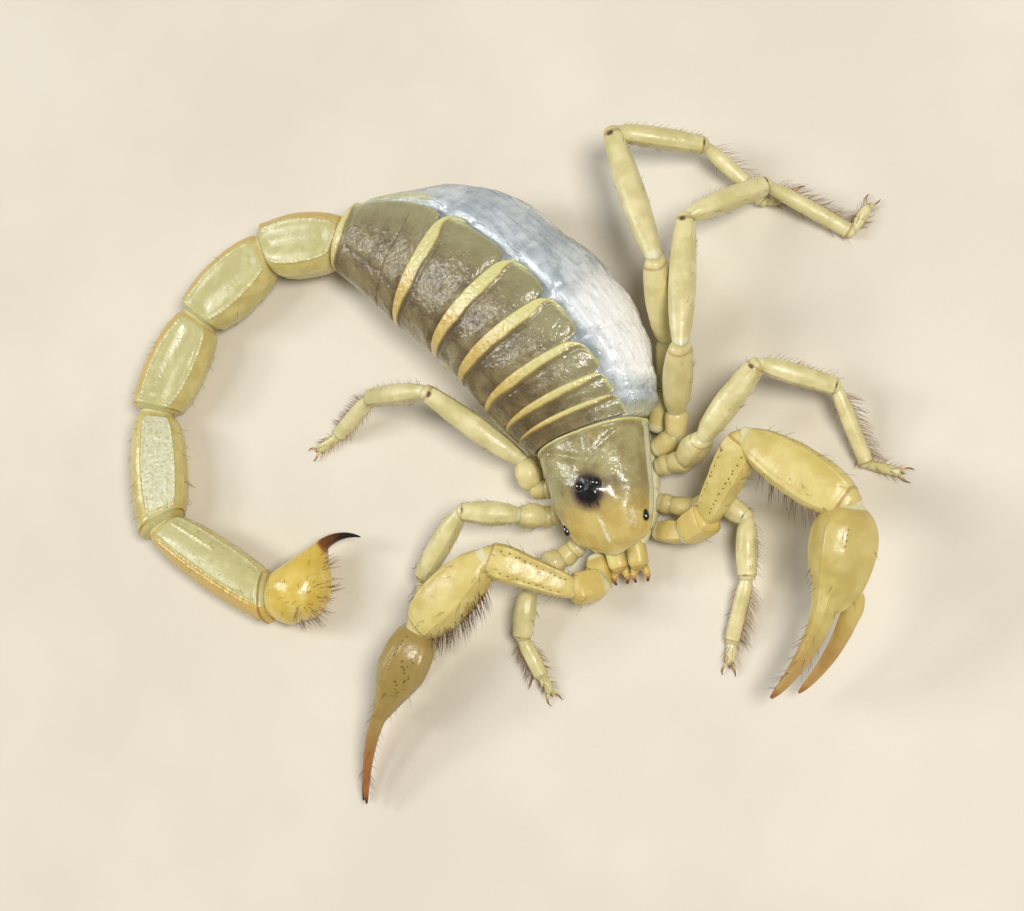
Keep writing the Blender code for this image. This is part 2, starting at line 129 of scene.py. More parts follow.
def hashed(cells, seed):
    """Repeatable numbers from 0 to 1 for rows of whole numbers."""
    mixed = (cells @ np.array([374761393, 668265263, 2147483029]) + seed * 974634777) & 0xFFFFFFFF
    mixed = ((mixed ^ (mixed >> 13)) * 1274126177) & 0xFFFFFFFF
    mixed = ((mixed ^ (mixed >> 16)) * 1911520717) & 0xFFFFFFFF
    return ((mixed ^ (mixed >> 15)) & 0xFFFFFF) / float(0xFFFFFF)


def noise(points, size, seed=0):
    """Smooth noise from -1 to 1 with features of about the given size in millimetres."""
    place = np.asarray(points) / size
    cell = np.floor(place).astype(np.int64)
    part = place - cell
    part = part * part * (3 - 2 * part)
    total = 0.0
    for corner in np.ndindex(2, 2, 2):
        near = np.array(corner)
        weight = np.prod(np.where(near == 1, part, 1 - part), axis=-1)
        total = total + weight * hashed(cell + near, seed)
    return total * 2 - 1


def grains(points, size, seed=0):
    """Round bumps, 1 at the middle of each grain and 0 away from it."""
    place = np.asarray(points) / size
    cell = np.floor(place).astype(np.int64)
    best = np.full(place.shape[:-1], 9.0)
    for offset in np.ndindex(3, 3, 3):
        near = cell + np.array(offset) - 1
        jitter = np.stack([hashed(near, seed + k) for k in range(3)], -1)
        best = np.minimum(best, np.linalg.norm(near + jitter - place, axis=-1))
    return np.clip(1 - best / 0.5, 0, 1) ** 0.8


# ---------------------------------------------------------------- meshes
class Shape:
    """Points, faces and named values for each point, gathered before they become one mesh."""

    def __init__(self):
        self.points, self.quads, self.triangles, self.values, self.count = [], [], [], {}, 0

    def add(self, points, quads=(), triangles=(), **values):
        points = np.asarray(points, float).reshape(-1, 3)
        start, size = self.count, len(points)
        self.points.append(points)
        if len(quads):
            self.quads.append(np.asarray(quads) + start)
        if len(triangles):
            self.triangles.append(np.asarray(triangles) + start)
        for key in set(values) | set(self.values):
            rows = self.values.setdefault(key, [np.zeros(start)] if start else [])
            rows.append(np.broadcast_to(np.asarray(values.get(key, 0.0), float).ravel(), (size,)))
        self.count += size
        return self

    def hull(self, rings, flip=True, **values):
        """A closed surface over rings of points, with a hub at each end."""
        rows, columns = rings.shape[:2]
        index = np.arange(rows * columns).reshape(rows, columns)
        after = np.roll(index, -1, axis=1)
        quads = np.stack([index[:-1], after[:-1], after[1:], index[1:]], -1).reshape(-1, 4)
        hubs = np.full((2, columns), [[rows * columns], [rows * columns + 1]])
        first = np.stack([hubs[0], after[0], index[0]], -1)
        last = np.stack([hubs[1], index[-1], after[-1]], -1)
        triangles = np.vstack([first, last])
        if flip:
            quads, triangles = quads[:, ::-1], triangles[:, ::-1]
        flat = {k: np.broadcast_to(v, (rows, columns)).ravel() for k, v in values.items()}
        flat = {k: np.append(v, [v[0], v[-1]]) for k, v in flat.items()}
        points = np.vstack([rings.reshape(-1, 3), rings[0].mean(0), rings[-1].mean(0)])
        return self.add(points, quads, triangles, **flat)

    def sheet(self, outer, under, **values):
        """A plate with its underside and edges, as one closed surface."""
        rows, columns = outer.shape[:2]
        index = np.arange(rows * columns * 2).reshape(rows, 2 * columns)
        after = np.roll(index, -1, axis=1)
        quads = [np.stack([index[:-1], index[1:], after[1:], after[:-1]], -1).reshape(-1, 4)]
        for row, step in ((0, 1), (-1, -1)):
            top, low = index[row, :columns], index[row, columns:][::-1]
            quads.append(np.stack([top[:-1], top[1:], low[1:], low[:-1]], -1)[:, ::step])
        for key, value in values.items():
            value = np.broadcast_to(value, (rows, columns))
            values[key] = np.concatenate([value, value[:, ::-1]], axis=1)
        grid = np.concatenate([outer, under[:, ::-1]], axis=1)
        return self.add(grid, np.vstack(quads), **values)

    def tube(self, path, radius, sides, flat=1.0, **values):
        """A round tapered tube along a path, with a value for each ring."""
        along = unit(np.gradient(path, axis=0))
        left = unit(np.cross(np.broadcast_to(UP, path.shape), along))
        above = np.cross(along, left)
        turn = (np.arange(sides) * 2 * np.pi / sides)[None, :, None]
        ring = np.sin(turn) * left[:, None, :] * flat + np.cos(turn) * above[:, None, :]
        rings = path[:, None, :] + radius[:, None, None] * ring
        return self.hull(rings, **{k: v[:, None] for k, v in values.items()})

    def mesh(self, name):
        points = np.vstack(self.points)
        quads = np.vstack([np.zeros((0, 4), int), *self.quads])
        triangles = np.vstack([np.zeros((0, 3), int), *self.triangles])
        corners = np.concatenate([quads.ravel(), triangles.ravel()]).astype(np.int32)
        sizes = np.repeat([4, 3], [len(quads), len(triangles)])
        starts = (np.cumsum(sizes) - sizes).astype(np.int32)
        mesh = bpy.data.meshes.new(name)
        mesh.vertices.add(len(points))
        mesh.vertices.foreach_set("co", ((points + CENTRING) * MM).astype(np.float32).ravel())
        mesh.loops.add(len(corners))
        mesh.loops.foreach_set("vertex_index", corners)
        mesh.polygons.add(len(starts))
        mesh.polygons.foreach_set("loop_start", starts)
        mesh.update(calc_edges=True)
        mesh.validate()
        mesh.shade_smooth()
        for key, rows in self.values.items():
            attribute = mesh.attributes.new(key, "FLOAT", "POINT")
            attribute.data.foreach_set("value", np.concatenate(rows).astype(np.float32))
        return mesh


# The materials by name, as each Paint adds itself.
MATERIALS = {}


def link(name, data):
    """A new object in the scene."""
    obj = bpy.data.objects.new(name, data)
    bpy.context.scene.collection.objects.link(obj)
    return obj


def piece(name, shape, paint, slot, *nodes):
    """A shown piece that rides on the body and stands for its solids."""
    obj = link(name, shape.mesh(name))
    obj.data.materials.append(MATERIALS[paint])
    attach(obj, "root")
    if nodes:
        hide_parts(*nodes)
    return obj


# ---------------------------------------------------------------- materials
def rgb(red, green, blue):
    """Linear colour of display values from 0 to 255."""
    shares = np.array([red, green, blue]) / 255
    linear = np.where(shares <= 0.04045, shares / 12.92, ((shares + 0.055) / 1.055) ** 2.4)
    return (*[float(x) for x in linear], 1.0)


class Paint:
    """A Principled material built up from layers of colour over procedural variation."""

    def __init__(self, name, first, second, size, detail=3.0):
        MATERIALS[name] = bpy.data.materials.new(name)
        MATERIALS[name].use_nodes = True
        self.tree = MATERIALS[name].node_tree
        self.shader = self.tree.nodes["Principled BSDF"]
        self.place = self.add("ShaderNodeTexCoord").outputs["Object"]
        self.colour = self.mix(self.speckle(size, detail, 0.35, 0.65), rgb(*first), rgb(*second))
        self.height = None

    def add(self, kind, options=(), **sockets):
        """A node, its sockets set or linked by name, or by number as i0, i1 and so on."""
        node = self.tree.nodes.new(kind)
        for key, value in dict(options).items():
            setattr(node, key, value)
        for key, value in sockets.items():
            socket = node.inputs[int(key[1:]) if key[0] == "i" else key]
            if isinstance(value, bpy.types.NodeSocket):
                self.tree.links.new(value, socket)
            else:
                socket.default_value = value
        return node

    def noise(self, size, detail=3.0, rough=0.55):
        """Noise with features of the given size in millimetres."""
        return self.add("ShaderNodeTexNoise", Vector=self.place, Scale=1 / (size * MM),
                        Detail=detail, Roughness=rough).outputs[0]

    def cells(self, size, feature="F1"):
        node = self.add("ShaderNodeTexVoronoi", {"feature": feature}, Vector=self.place,
                        Scale=1 / (size * MM))
        return node.outputs["Distance"]

    def lines(self, along, across, width):
        """Thin broken lines that run along a surface with its own flow coordinates."""
        flow = [self.maths("DIVIDE", self.value(name), size)
                for name, size in (("flow_u", along), ("flow_v", across))]
        place = self.add("ShaderNodeCombineXYZ", X=flow[0], Y=flow[1]).outputs[0]
        node = self.add("ShaderNodeTexNoise", Vector=place, Scale=1.0, Detail=3.0)
        off = self.maths("ABSOLUTE", self.maths("SUBTRACT", node.outputs[0], 0.5), 0.0)
        return self.ramp(off, width, 0.0)

    def value(self, name):
        return self.add("ShaderNodeAttribute", {"attribute_name": name}).outputs["Fac"]

    def ramp(self, value, low, high, to_low=0.0, to_high=1.0):
        return self.add("ShaderNodeMapRange", {"interpolation_type": "SMOOTHSTEP"}, i0=value,
                        i1=low, i2=high, i3=to_low, i4=to_high).outputs[0]

    def maths(self, operation, first, second):
        return self.add("ShaderNodeMath", {"operation": operation}, i0=first, i1=second).outputs[0]

    def product(self, factor, *others):
        for other in others:
            factor = self.maths("MULTIPLY", factor, other)
        return factor

    def mix(self, factor, first, second):
        node = self.add("ShaderNodeMix", {"data_type": "RGBA"}, i0=factor, i6=first, i7=second)
        return node.outputs[2]

    def speckle(self, size, detail, low, high, rough=0.55):
        """Uneven patches of the given size in millimetres."""
        return self.ramp(self.noise(size, detail, rough), low, high)

    def mask(self, name, low, high, wobble=0.0, size=1.0):
        """A band of an attribute, its edge made uneven by noise."""
        value = self.value(name)
        if wobble:
            shift = self.product(self.maths("SUBTRACT", self.noise(size), 0.5), wobble)
            value = self.maths("ADD", value, shift)
        return self.ramp(value, low, high)

    def layer(self, colour, strength, *factors):
        """Lays a colour over the others where all the factors are high."""
        factor = self.product(*factors, *([strength] if strength != 1 else []))
        self.colour = self.mix(factor, self.colour, rgb(*colour))

    def relief(self, amount, *factors):
        """Adds relief, as millimetres where the product of the factors is 1."""
        scaled = self.product(*factors, amount * MM)
        self.height = scaled if self.height is None else self.maths("ADD", self.height, scaled)

    def done(self, rough_low, rough_high, rough_size, coat=0.0, coat_rough=0.08, specular=0.5,
             flesh=0.0, bleed=(1.0, 0.55, 0.2), depth=0.6):
        """Sets roughness, varnish and how light bleeds through, and the gathered relief."""
        shader, links = self.shader, self.tree.links
        links.new(self.colour, shader.inputs["Base Color"])
        rough = self.ramp(self.noise(rough_size), 0.3, 0.7, rough_low, rough_high)
        links.new(rough, shader.inputs["Roughness"])
        shader.inputs["Coat Weight"].default_value = coat
        shader.inputs["Coat Roughness"].default_value = coat_rough
        shader.inputs["Specular IOR Level"].default_value = specular
        shader.inputs["Subsurface Weight"].default_value = flesh
        shader.inputs["Subsurface Radius"].default_value = bleed
        shader.inputs["Subsurface Scale"].default_value = depth * MM
        if self.height is not None:
            node = self.add("ShaderNodeBump", Height=self.height, Strength=1.0, Distance=1.0)
            links.new(node.outputs[0], shader.inputs["Normal"])
            links.new(node.outputs[0], shader.inputs["Coat Normal"])


def membrane_paint():
    """Bluish white soft skin, wet and finely pleated, with a painted highlight and painted shade in
    its folds and wrinkles.
    """
    p = Paint("membrane", (166, 176, 182), (206, 213, 217), 3.0)
    p.layer((146, 157, 166), 0.5, p.speckle(1.1, 4, 0.5, 0.72))
    # Painted highlight: a near-white glare on the pale bare skin beside the middle plates.
    p.layer((250, 250, 250), 0.9, p.mask("bright", 0.2, 0.9, 0.3, 1.5))
    # Painted shade: darker in the hollows of the pleats and along the seams.
    p.layer((160, 160, 150), 0.5, p.mask("crease", 0.35, 1.0))
    p.layer((198, 194, 150), 0.85, p.mask("tan", 0.2, 0.9, 0.3, 2.0))
    wrinkle = p.lines(6.5, 1.1, 0.014)
    # Painted shade: dark lines along the wrinkle grooves beside the rear plates.
    p.layer((96, 92, 88), 0.75, wrinkle, p.mask("wrinkled", 0.1, 0.9, 0.3, 1.5))
    p.layer((92, 84, 70), 0.6, p.ramp(p.cells(1.1), 0.07, 0.04))
    p.relief(-0.05, wrinkle)
    p.relief(0.05, p.noise(0.35, 4))
    p.relief(0.012, p.noise(0.12, 2))
    p.done(0.16, 0.36, 0.8, coat=0.7, flesh=0.3, bleed=(0.9, 0.8, 0.7), depth=0.8)


def tergite_paint():
    """Dusky olive plates with a pale yellow rear band, a painted highlight, and painted shade in
    the furrows, the dents and the cross line of the last plate.
    """
    p = Paint("tergite", (100, 86, 56), (130, 113, 76), 1.8, 4)
    p.layer((150, 137, 98), 0.6, p.speckle(3.4, 3, 0.44, 0.66))
    p.layer((160, 156, 118), 0.75, p.mask("side", 5.5, 0.8, 3.0, 2.0))
    p.layer((78, 62, 40), 0.65, p.mask("band", -2.2, -0.3, 1.6, 1.6),
            p.mask("side", 4.0, 10.0, 5.0, 2.0))
    p.layer((84, 70, 44), 0.4, p.speckle(0.6, 5, 0.58, 0.72, 0.7))
    # Painted highlight: a pale broken sheen across each plate; the same mask also crinkles the
    # relief.
    sheen = p.mask("sheen", 0.1, 1.0, 0.5, 1.6)
    p.layer((188, 182, 152), 0.45, sheen, p.speckle(0.6, 5, 0.4, 0.64, 0.7))
    # Painted shade: darker in the middle furrow and the two dents.
    p.layer((84, 70, 42), 0.4, p.mask("groove", 0.25, 1.0))
    # Painted shade: a dark line in the cross groove of the last plate.
    p.layer((82, 68, 40), 0.7, p.mask("crack", 0.3, 1.0))
    p.layer((140, 122, 70), 0.6, p.mask("band", -0.3, 0.1, 0.2, 0.6))
    p.layer((206, 177, 98), 1, p.mask("band", 0.0, 0.3, 0.2, 0.6))
    p.layer((214, 209, 146), 1, p.mask("band", 0.0, 0.4, 0.2, 0.6),
            p.mask("side", 9.5, 2.5, 3.0, 2.0))
    p.layer((232, 222, 164), 0.6, p.mask("band", 0.15, 0.6), p.speckle(0.7, 3, 0.45, 0.75))
    p.layer((204, 205, 152), 0.85, p.mask("edge", 0.85, 0.3, 0.25, 0.6))
    p.layer((128, 100, 48), 0.6, p.mask("tip", 0.08, 0.0))
    p.relief(0.13, sheen, p.noise(0.42, 3, 0.6))
    p.relief(0.12, p.noise(0.55, 3))
    p.relief(0.02, p.ramp(p.cells(0.42, "SMOOTH_F1"), 0.5, 0.1))
    p.relief(0.02, p.noise(0.2, 3))
    p.done(0.16, 0.36, 0.7, coat=0.6, coat_rough=0.14, flesh=0.3, bleed=(0.9, 0.75, 0.4))


def sternite_paint():
    p = Paint("sternite", (178, 160, 96), (204, 188, 124), 2.2)
    p.layer((150, 128, 70), 0.5, p.speckle(0.6, 4, 0.55, 0.75))
    p.layer((222, 206, 142), 0.8, p.mask("band", 0.0, 0.3, 0.1))
    p.relief(0.03, p.noise(0.3, 3))
    p.done(0.25, 0.42, 0.5, coat=0.4, flesh=0.15)


def carapace_paint():
    """Golden front, olive rear and a black smudge round the middle eyes, with a painted highlight
    down the middle of the front and painted glare beside the left side eyes.
    """
    p = Paint("carapace", (138, 127, 84), (164, 153, 106), 1.8, 4)
    p.layer((176, 170, 124), 0.6, p.speckle(2.6, 3, 0.45, 0.68))
    p.layer((204, 176, 96), 0.85, p.mask("front", 0.46, 0.8, 0.16, 2.0))
    p.layer((216, 196, 124), 0.7, p.mask("front", 0.55, 0.85), p.speckle(2.0, 2, 0.4, 0.65))
    p.layer((122, 106, 62), 0.35, p.speckle(0.5, 5, 0.6, 0.74, 0.7))
    p.layer((182, 172, 120), 0.6, p.mask("side", 1.6, 0.2, 0.8, 1.0))
    p.layer((98, 76, 62), 0.85, p.mask("smudge", 0.12, 0.6, 0.34, 0.9))
    p.layer((17, 12, 15), 1, p.mask("smudge", 0.42, 0.8, 0.3, 0.7))
    # Painted highlight: glare on the crumpled patch beside the left side eyes; the patch on the
    # rear is pale scratches.
    p.layer((232, 228, 204), 0.6, p.mask("pale", 0.2, 0.9, 0.4, 0.8),
            p.speckle(0.4, 5, 0.44, 0.6, 0.7))
    # Painted highlight: a ragged pale line down the middle of the front.
    p.layer((238, 232, 204), 0.75, p.mask("streak", 0.2, 0.8, 0.5, 0.5),
            p.speckle(0.45, 4, 0.36, 0.56))
    p.layer((208, 210, 184), 0.85, p.mask("margin", 0.3, 0.8, 0.4, 0.7))
    p.layer((212, 204, 148), 0.7, p.mask("rim", 0.34, 0.12, 0.1, 0.6))
    p.layer((214, 206, 142), 0.9, p.mask("rear", 0.5, 0.2, 0.12, 0.6))
    p.relief(0.10, p.noise(0.5, 3), p.mask("front", 0.6, 0.25))
    p.relief(0.05, p.noise(1.1, 2))
    p.relief(0.012, p.noise(0.18, 3))
    p.done(0.16, 0.36, 0.7, coat=0.55, coat_rough=0.15, flesh=0.3, bleed=(1.0, 0.75, 0.35),
           depth=0.7)


def limb_paint(name, first, second, amber):
    """Straw to amber limbs, with darker lips, pale membrane at the joints and dark spots."""
    p = Paint(name, first, second, 2.4)
    p.layer(amber, 0.9, p.mask("amber", 0.1, 1.0, 0.3, 1.5))
    p.layer(amber, 0.3, p.speckle(0.5, 4, 0.56, 0.74))
    # Painted shade: darker tan on the palms and the movable fingers.
    p.layer((142, 114, 54), 0.85, p.mask("shade", 0.05, 1.0, 0.3, 2.0))
    p.layer((158, 122, 62), 0.6, p.mask("lip", 0.4, 0.9, 0.2, 0.5))
    p.layer((222, 216, 178), 0.8, p.mask("skin", 0.3, 0.8, 0.1))
    # Darker keel lines on the legs, and painted shade in the grooves between the hips.
    p.layer((150, 122, 66), 0.35, p.mask("keel", 0.35, 1.0, 0.3, 0.3))
    p.layer((156, 98, 48), 0.9, p.mask("dark", 0.0, 0.6, 0.1, 0.4))
    p.layer((44, 22, 14), 0.95, p.mask("dark", 0.5, 1.0, 0.1, 0.4))
    p.layer((64, 42, 20), 0.9, p.mask("spot", 0.35, 0.7, 0.2, 0.3))
    p.relief(0.06, p.noise(0.7, 3))
    p.relief(0.01, p.noise(0.15, 2))
    p.done(0.3, 0.5, 0.9, coat=0.2, coat_rough=0.22, flesh=0.35, bleed=(1.0, 0.75, 0.4), depth=0.9)


def tail_paint():
    """Pale greenish face between beaded keels, amber sides, brown rim and pale neck, with painted
    highlights on the beads and the rough face and painted shade in the pits.
    """
    p = Paint("tail", (192, 176, 106), (208, 194, 128), 2.0)
    p.layer((206, 170, 84), 0.8, p.mask("outer", 0.3, 0.8, 0.2))
    p.layer((190, 184, 130), 1, p.mask("face", 0.25, 0.75, 0.3, 1.2))
    p.layer((208, 203, 150), 0.7, p.mask("face", 0.4, 0.7), p.speckle(1.2, 4, 0.4, 0.7))
    # Pale rough face of the fourth length, whitened further as a painted highlight.
    rough = p.mask("rough", 0.3, 0.8, 0.3, 1.0)
    p.layer((224, 228, 210), 0.75, rough, p.speckle(0.4, 5, 0.3, 0.66, 0.7))
    # Painted highlight: pale tops of the keel beads.
    p.layer((238, 228, 178), 0.85, p.mask("bead", 0.35, 0.85))
    # Painted shade: dark pits beside and between the beads.
    p.layer((126, 98, 48), 0.7, p.mask("pit", 0.4, 0.8))
    p.layer((168, 140, 74), 0.25, p.speckle(0.4, 4, 0.62, 0.76))
    p.layer((220, 212, 168), 0.8, p.mask("skin", 0.3, 0.7, 0.1))
    p.layer((148, 98, 40), 0.7, p.mask("lip", 0.45, 0.85, 0.2, 0.5))
    p.relief(0.16, rough, p.noise(0.45, 3))
    p.relief(0.05, p.noise(0.8, 3))
    p.relief(0.012, p.noise(0.2, 3))
    p.done(0.24, 0.44, 0.8, coat=0.28, coat_rough=0.2, flesh=0.34, bleed=(1.0, 0.75, 0.35),
           depth=0.9)


def telson_paint():
    """Golden bulb, and a sting that darkens to black at its tip."""
    p = Paint("telson", (210, 182, 82), (224, 200, 108), 2.2)
    p.layer((194, 158, 68), 0.3, p.speckle(0.5, 4, 0.55, 0.72))
    p.layer((212, 196, 134), 0.8, p.mask("skin", 0.3, 0.7, 0.1))
    p.layer((134, 66, 20), 0.95, p.mask("tip", 0.05, 0.5, 0.06))
    p.layer((24, 12, 8), 1, p.mask("tip", 0.42, 0.85, 0.06))
    p.relief(0.05, p.noise(0.8, 3))
    p.relief(0.01, p.noise(0.2, 3))
    p.done(0.2, 0.36, 0.8, coat=0.35, coat_rough=0.16, flesh=0.3, bleed=(1.0, 0.8, 0.4), depth=0.7)


def eye_paint():
    p = Paint("eye", (10, 9, 12), (22, 18, 20), 0.4)
    p.done(0.04, 0.1, 0.3, coat=1.0, coat_rough=0.03, specular=0.6)


def bristle_paint(name, root, tip):
    p = Paint(name, root, root, 1.0)
    p.layer(tip, 1, p.mask("tip", 0.1, 1.0))
    p.layer(tip, 0.3, p.speckle(0.6, 2, 0.45, 0.65))
    p.done(0.3, 0.45, 0.5, specular=0.4)


def floor_paint():
    p = Paint("floor", (214, 206, 190), (220, 213, 198), 30.0)
    p.relief(0.03, p.noise(0.8, 4))
    p.done(0.75, 0.85, 4.0, specular=0.3)


# ---------------------------------------------------------------- swept limbs
class Limb:
    """One length of a limb: a rounded section swept along a line, with its outline and relief."""

    def __init__(self, start, end, up, half_width, half_height, outline, power=2.3, bow=0.0,
                 relief=None, dome=(0.8, 0.5), faces=(None, None), slide=0.3):
        self.start = start
        self.way = unit(end - start)
        self.length = float(np.linalg.norm(end - start))
        self.left = unit(np.cross(up, self.way))
        self.above = np.cross(self.way, self.left)
        self.half_width, self.half_height = half_width, half_height
        self.outline, self.power, self.bow, self.relief = outline, power, bow, relief
        self.dome, self.faces, self.slide = dome, faces, slide
        self.ends = self.way, self.way

    def axis(self, place):
        return self.start + self.way * (place * self.length)[..., None]

    def cloud(self, place, turn, radius):
        """Places for noise: round the axis at an even radius, whatever the section."""
        side, tall = sin_cos(turn)
        return self.axis(place) + np.stack([side, tall, 0 * turn], -1) * radius

    def offsets(self, place, angle, width, height):
        """How far surface points lie to the left of the axis and above it, with relief."""
        side, tall = sin_cos(angle)
        across, raised = width * bulge(side, 2 / self.power), height * bulge(tall, 2 / self.power)
        more = 0.0 if self.relief is None else self.relief(place, angle, self)
        grow = 1 + more / (np.hypot(across, raised) + 1e-9)
        return (across * grow)[..., None], (raised * grow)[..., None]

    def at(self, place, angle):
        """Surface points at shares of the length and at degrees from the top towards the left."""
        place, angle = np.broadcast_arrays(np.asarray(place, float), np.asarray(angle, float))
        size = curve(self.outline, place) * (self.half_width, self.half_height)
        across, raised = self.offsets(place, angle, size[..., 0], size[..., 1])
        offset = self.left * across + self.above * raised
        centre = self.axis(place) + self.above * (self.bow * 4 * place * (1 - place))[..., None]
        for face, near in zip(self.faces, (1 - place / self.slide, 1 - (1 - place) / self.slide)):
            if face is not None:
                weight = np.clip(near, 0, 1) ** 1.5
                slip = -(offset @ face) / (self.way @ face)
                offset = offset + self.way * (slip * weight)[..., None]
        return centre + offset

    def normal(self, place, angle):
        step, turn = 0.004, 2
        last, first = [self.at(np.clip(place + hop, 0, 1), angle) for hop in (step, -step)]
        across = self.at(place, angle + turn) - self.at(place, angle - turn)
        return unit(np.cross(last - first, across))

    def rings(self, count, sides):
        """Grid of points with rounded ends, and the place and angle of each."""
        angle = np.arange(sides) * 360 / sides
        place, angle = np.meshgrid(np.linspace(0, 1, count), angle, indexing="ij")
        body = self.at(place, angle)
        turn = np.radians([18, 36, 54, 70, 84])[:, None, None]
        caps = []
        for end, size in ((0, -self.dome[0]), (-1, self.dome[1])):
            hub = body[end].mean(0)
            radius = np.linalg.norm(body[end] - hub, axis=-1).mean()
            cap = hub + (body[end] - hub) * np.cos(turn)
            caps.append(cap + self.ends[end] * (size * radius * np.sin(turn)))
        more = ((len(turn), len(turn)), (0, 0))
        grid = np.concatenate([caps[0][::-1], body, caps[1]])
        return grid, np.pad(place, more, "edge"), np.pad(angle, more, "edge")


class Sweep(Limb):
    """A limb whose axis bends: knots are rows of a point, a half width and a half height."""

    def __init__(self, knots, up, power, relief, dome=(0.7, 0.8)):
        knots = np.array(knots, float)
        steps = np.linalg.norm(np.diff(knots[:, :3], axis=0), axis=1)
        reach = np.concatenate([[0], np.cumsum(steps)])
        self.length = reach[-1]
        self.knots = np.column_stack([reach / self.length, knots])
        self.up, self.power, self.relief, self.dome = up, power, relief, dome
        self.half_width = knots[:, 3].max()
        self.ends = unit(knots[2, :3] - knots[0, :3]), unit(knots[-1, :3] - knots[-2, :3])

    def axis(self, place):
        return curve(self.knots, place)[..., :3]

    def at(self, place, angle):
        place, angle = np.broadcast_arrays(np.asarray(place, float), np.asarray(angle, float))
        row = curve(self.knots, place)
        last, first = [self.axis(np.clip(place + hop, 0, 1)) for hop in (0.03, -0.03)]
        along = unit(last - first)
        left = unit(np.cross(self.up, along))
        across, raised = self.offsets(place, angle, row[..., 3], row[..., 4])
        return row[..., :3] + left * across + np.cross(along, left) * raised


def signed(angle):
    """The same angle, from -180 to 180 degrees."""
    return (np.asarray(angle) + 180) % 360 - 180


def on_floor(points, height=0.0):
    """The same points, raised to the floor where they would be under it."""
    points[..., 2] = np.maximum(points[..., 2], height)
    return points


# ---------------------------------------------------------------- trunk
WAIST = np.array([11.0, 0.5, 0.0])
# Thickness of a plate, and the space under it.
PLATE, PLATE_GAP = 0.6, 0.3
# Stations at the plates' joints: length from the last one, bearing of the axis from there, bearing
# that the section faces, half width, top and bottom.
TRUNK = np.array([
    (0.0, 108, 108, 6.7, 9.6, 1.7),
    (1.9, 110, 110, 7.4, 10.4, 1.5),
    (2.1, 115, 113, 8.1, 11.4, 1.2),
    (3.5, 122, 117, 9.0, 12.7, 0.3),
    (5.2, 131, 122, 9.4, 13.4, -0.6),
    (5.8, 142, 130, 9.1, 13.0, -0.5),
    (8.6, 151, 147, 8.2, 11.4, 1.0),
    (12.0, 176, 160, 3.6, 7.7, 2.0),
])
# Degrees from the top, at the stations, of the edges of the back plates, then of the belly plates.
PLATE_LEFT = [50, 40, 34, 29, 27, 27, 30, 65]
PLATE_RIGHT = [-85, -92, -95, -97, -97, -97, -95, -85]
BELLY_LEFT, BELLY_RIGHT = 128, 246
TRUNK_CENTRES = [WAIST]
for before, after in zip(TRUNK, TRUNK[1:]):
    TRUNK_CENTRES.append(TRUNK_CENTRES[-1] + after[0] * direction((before[1] + after[1]) / 2))


def trunk_point(place, angle, sunk):
    """Points of the trunk at stations and angles from the top, sunk below its surface."""
    place, angle, sunk = np.broadcast_arrays(*[np.asarray(x, float) for x in (place, angle, sunk)])
    centre = blend(TRUNK_CENTRES, place)
    _, _, bearing, half_width, top, bottom = np.moveaxis(blend(TRUNK, place), -1, 0)
    left = direction(bearing - 90)
    turn = np.radians(angle)
    point = centre + left * ((half_width - sunk) * np.sin(turn))[..., None]
    height = (top + bottom) / 2 + ((top - bottom) / 2 - sunk) * np.cos(turn)
    point[..., 2] = np.maximum(height, np.maximum(sunk, 0))
    return point


def half_girth(place):
    """Mean radius of the trunk at stations."""
    _, _, _, half_width, top, bottom = np.moveaxis(blend(TRUNK, place), -1, 0)
    return (half_width + (top - bottom) / 2) / 2


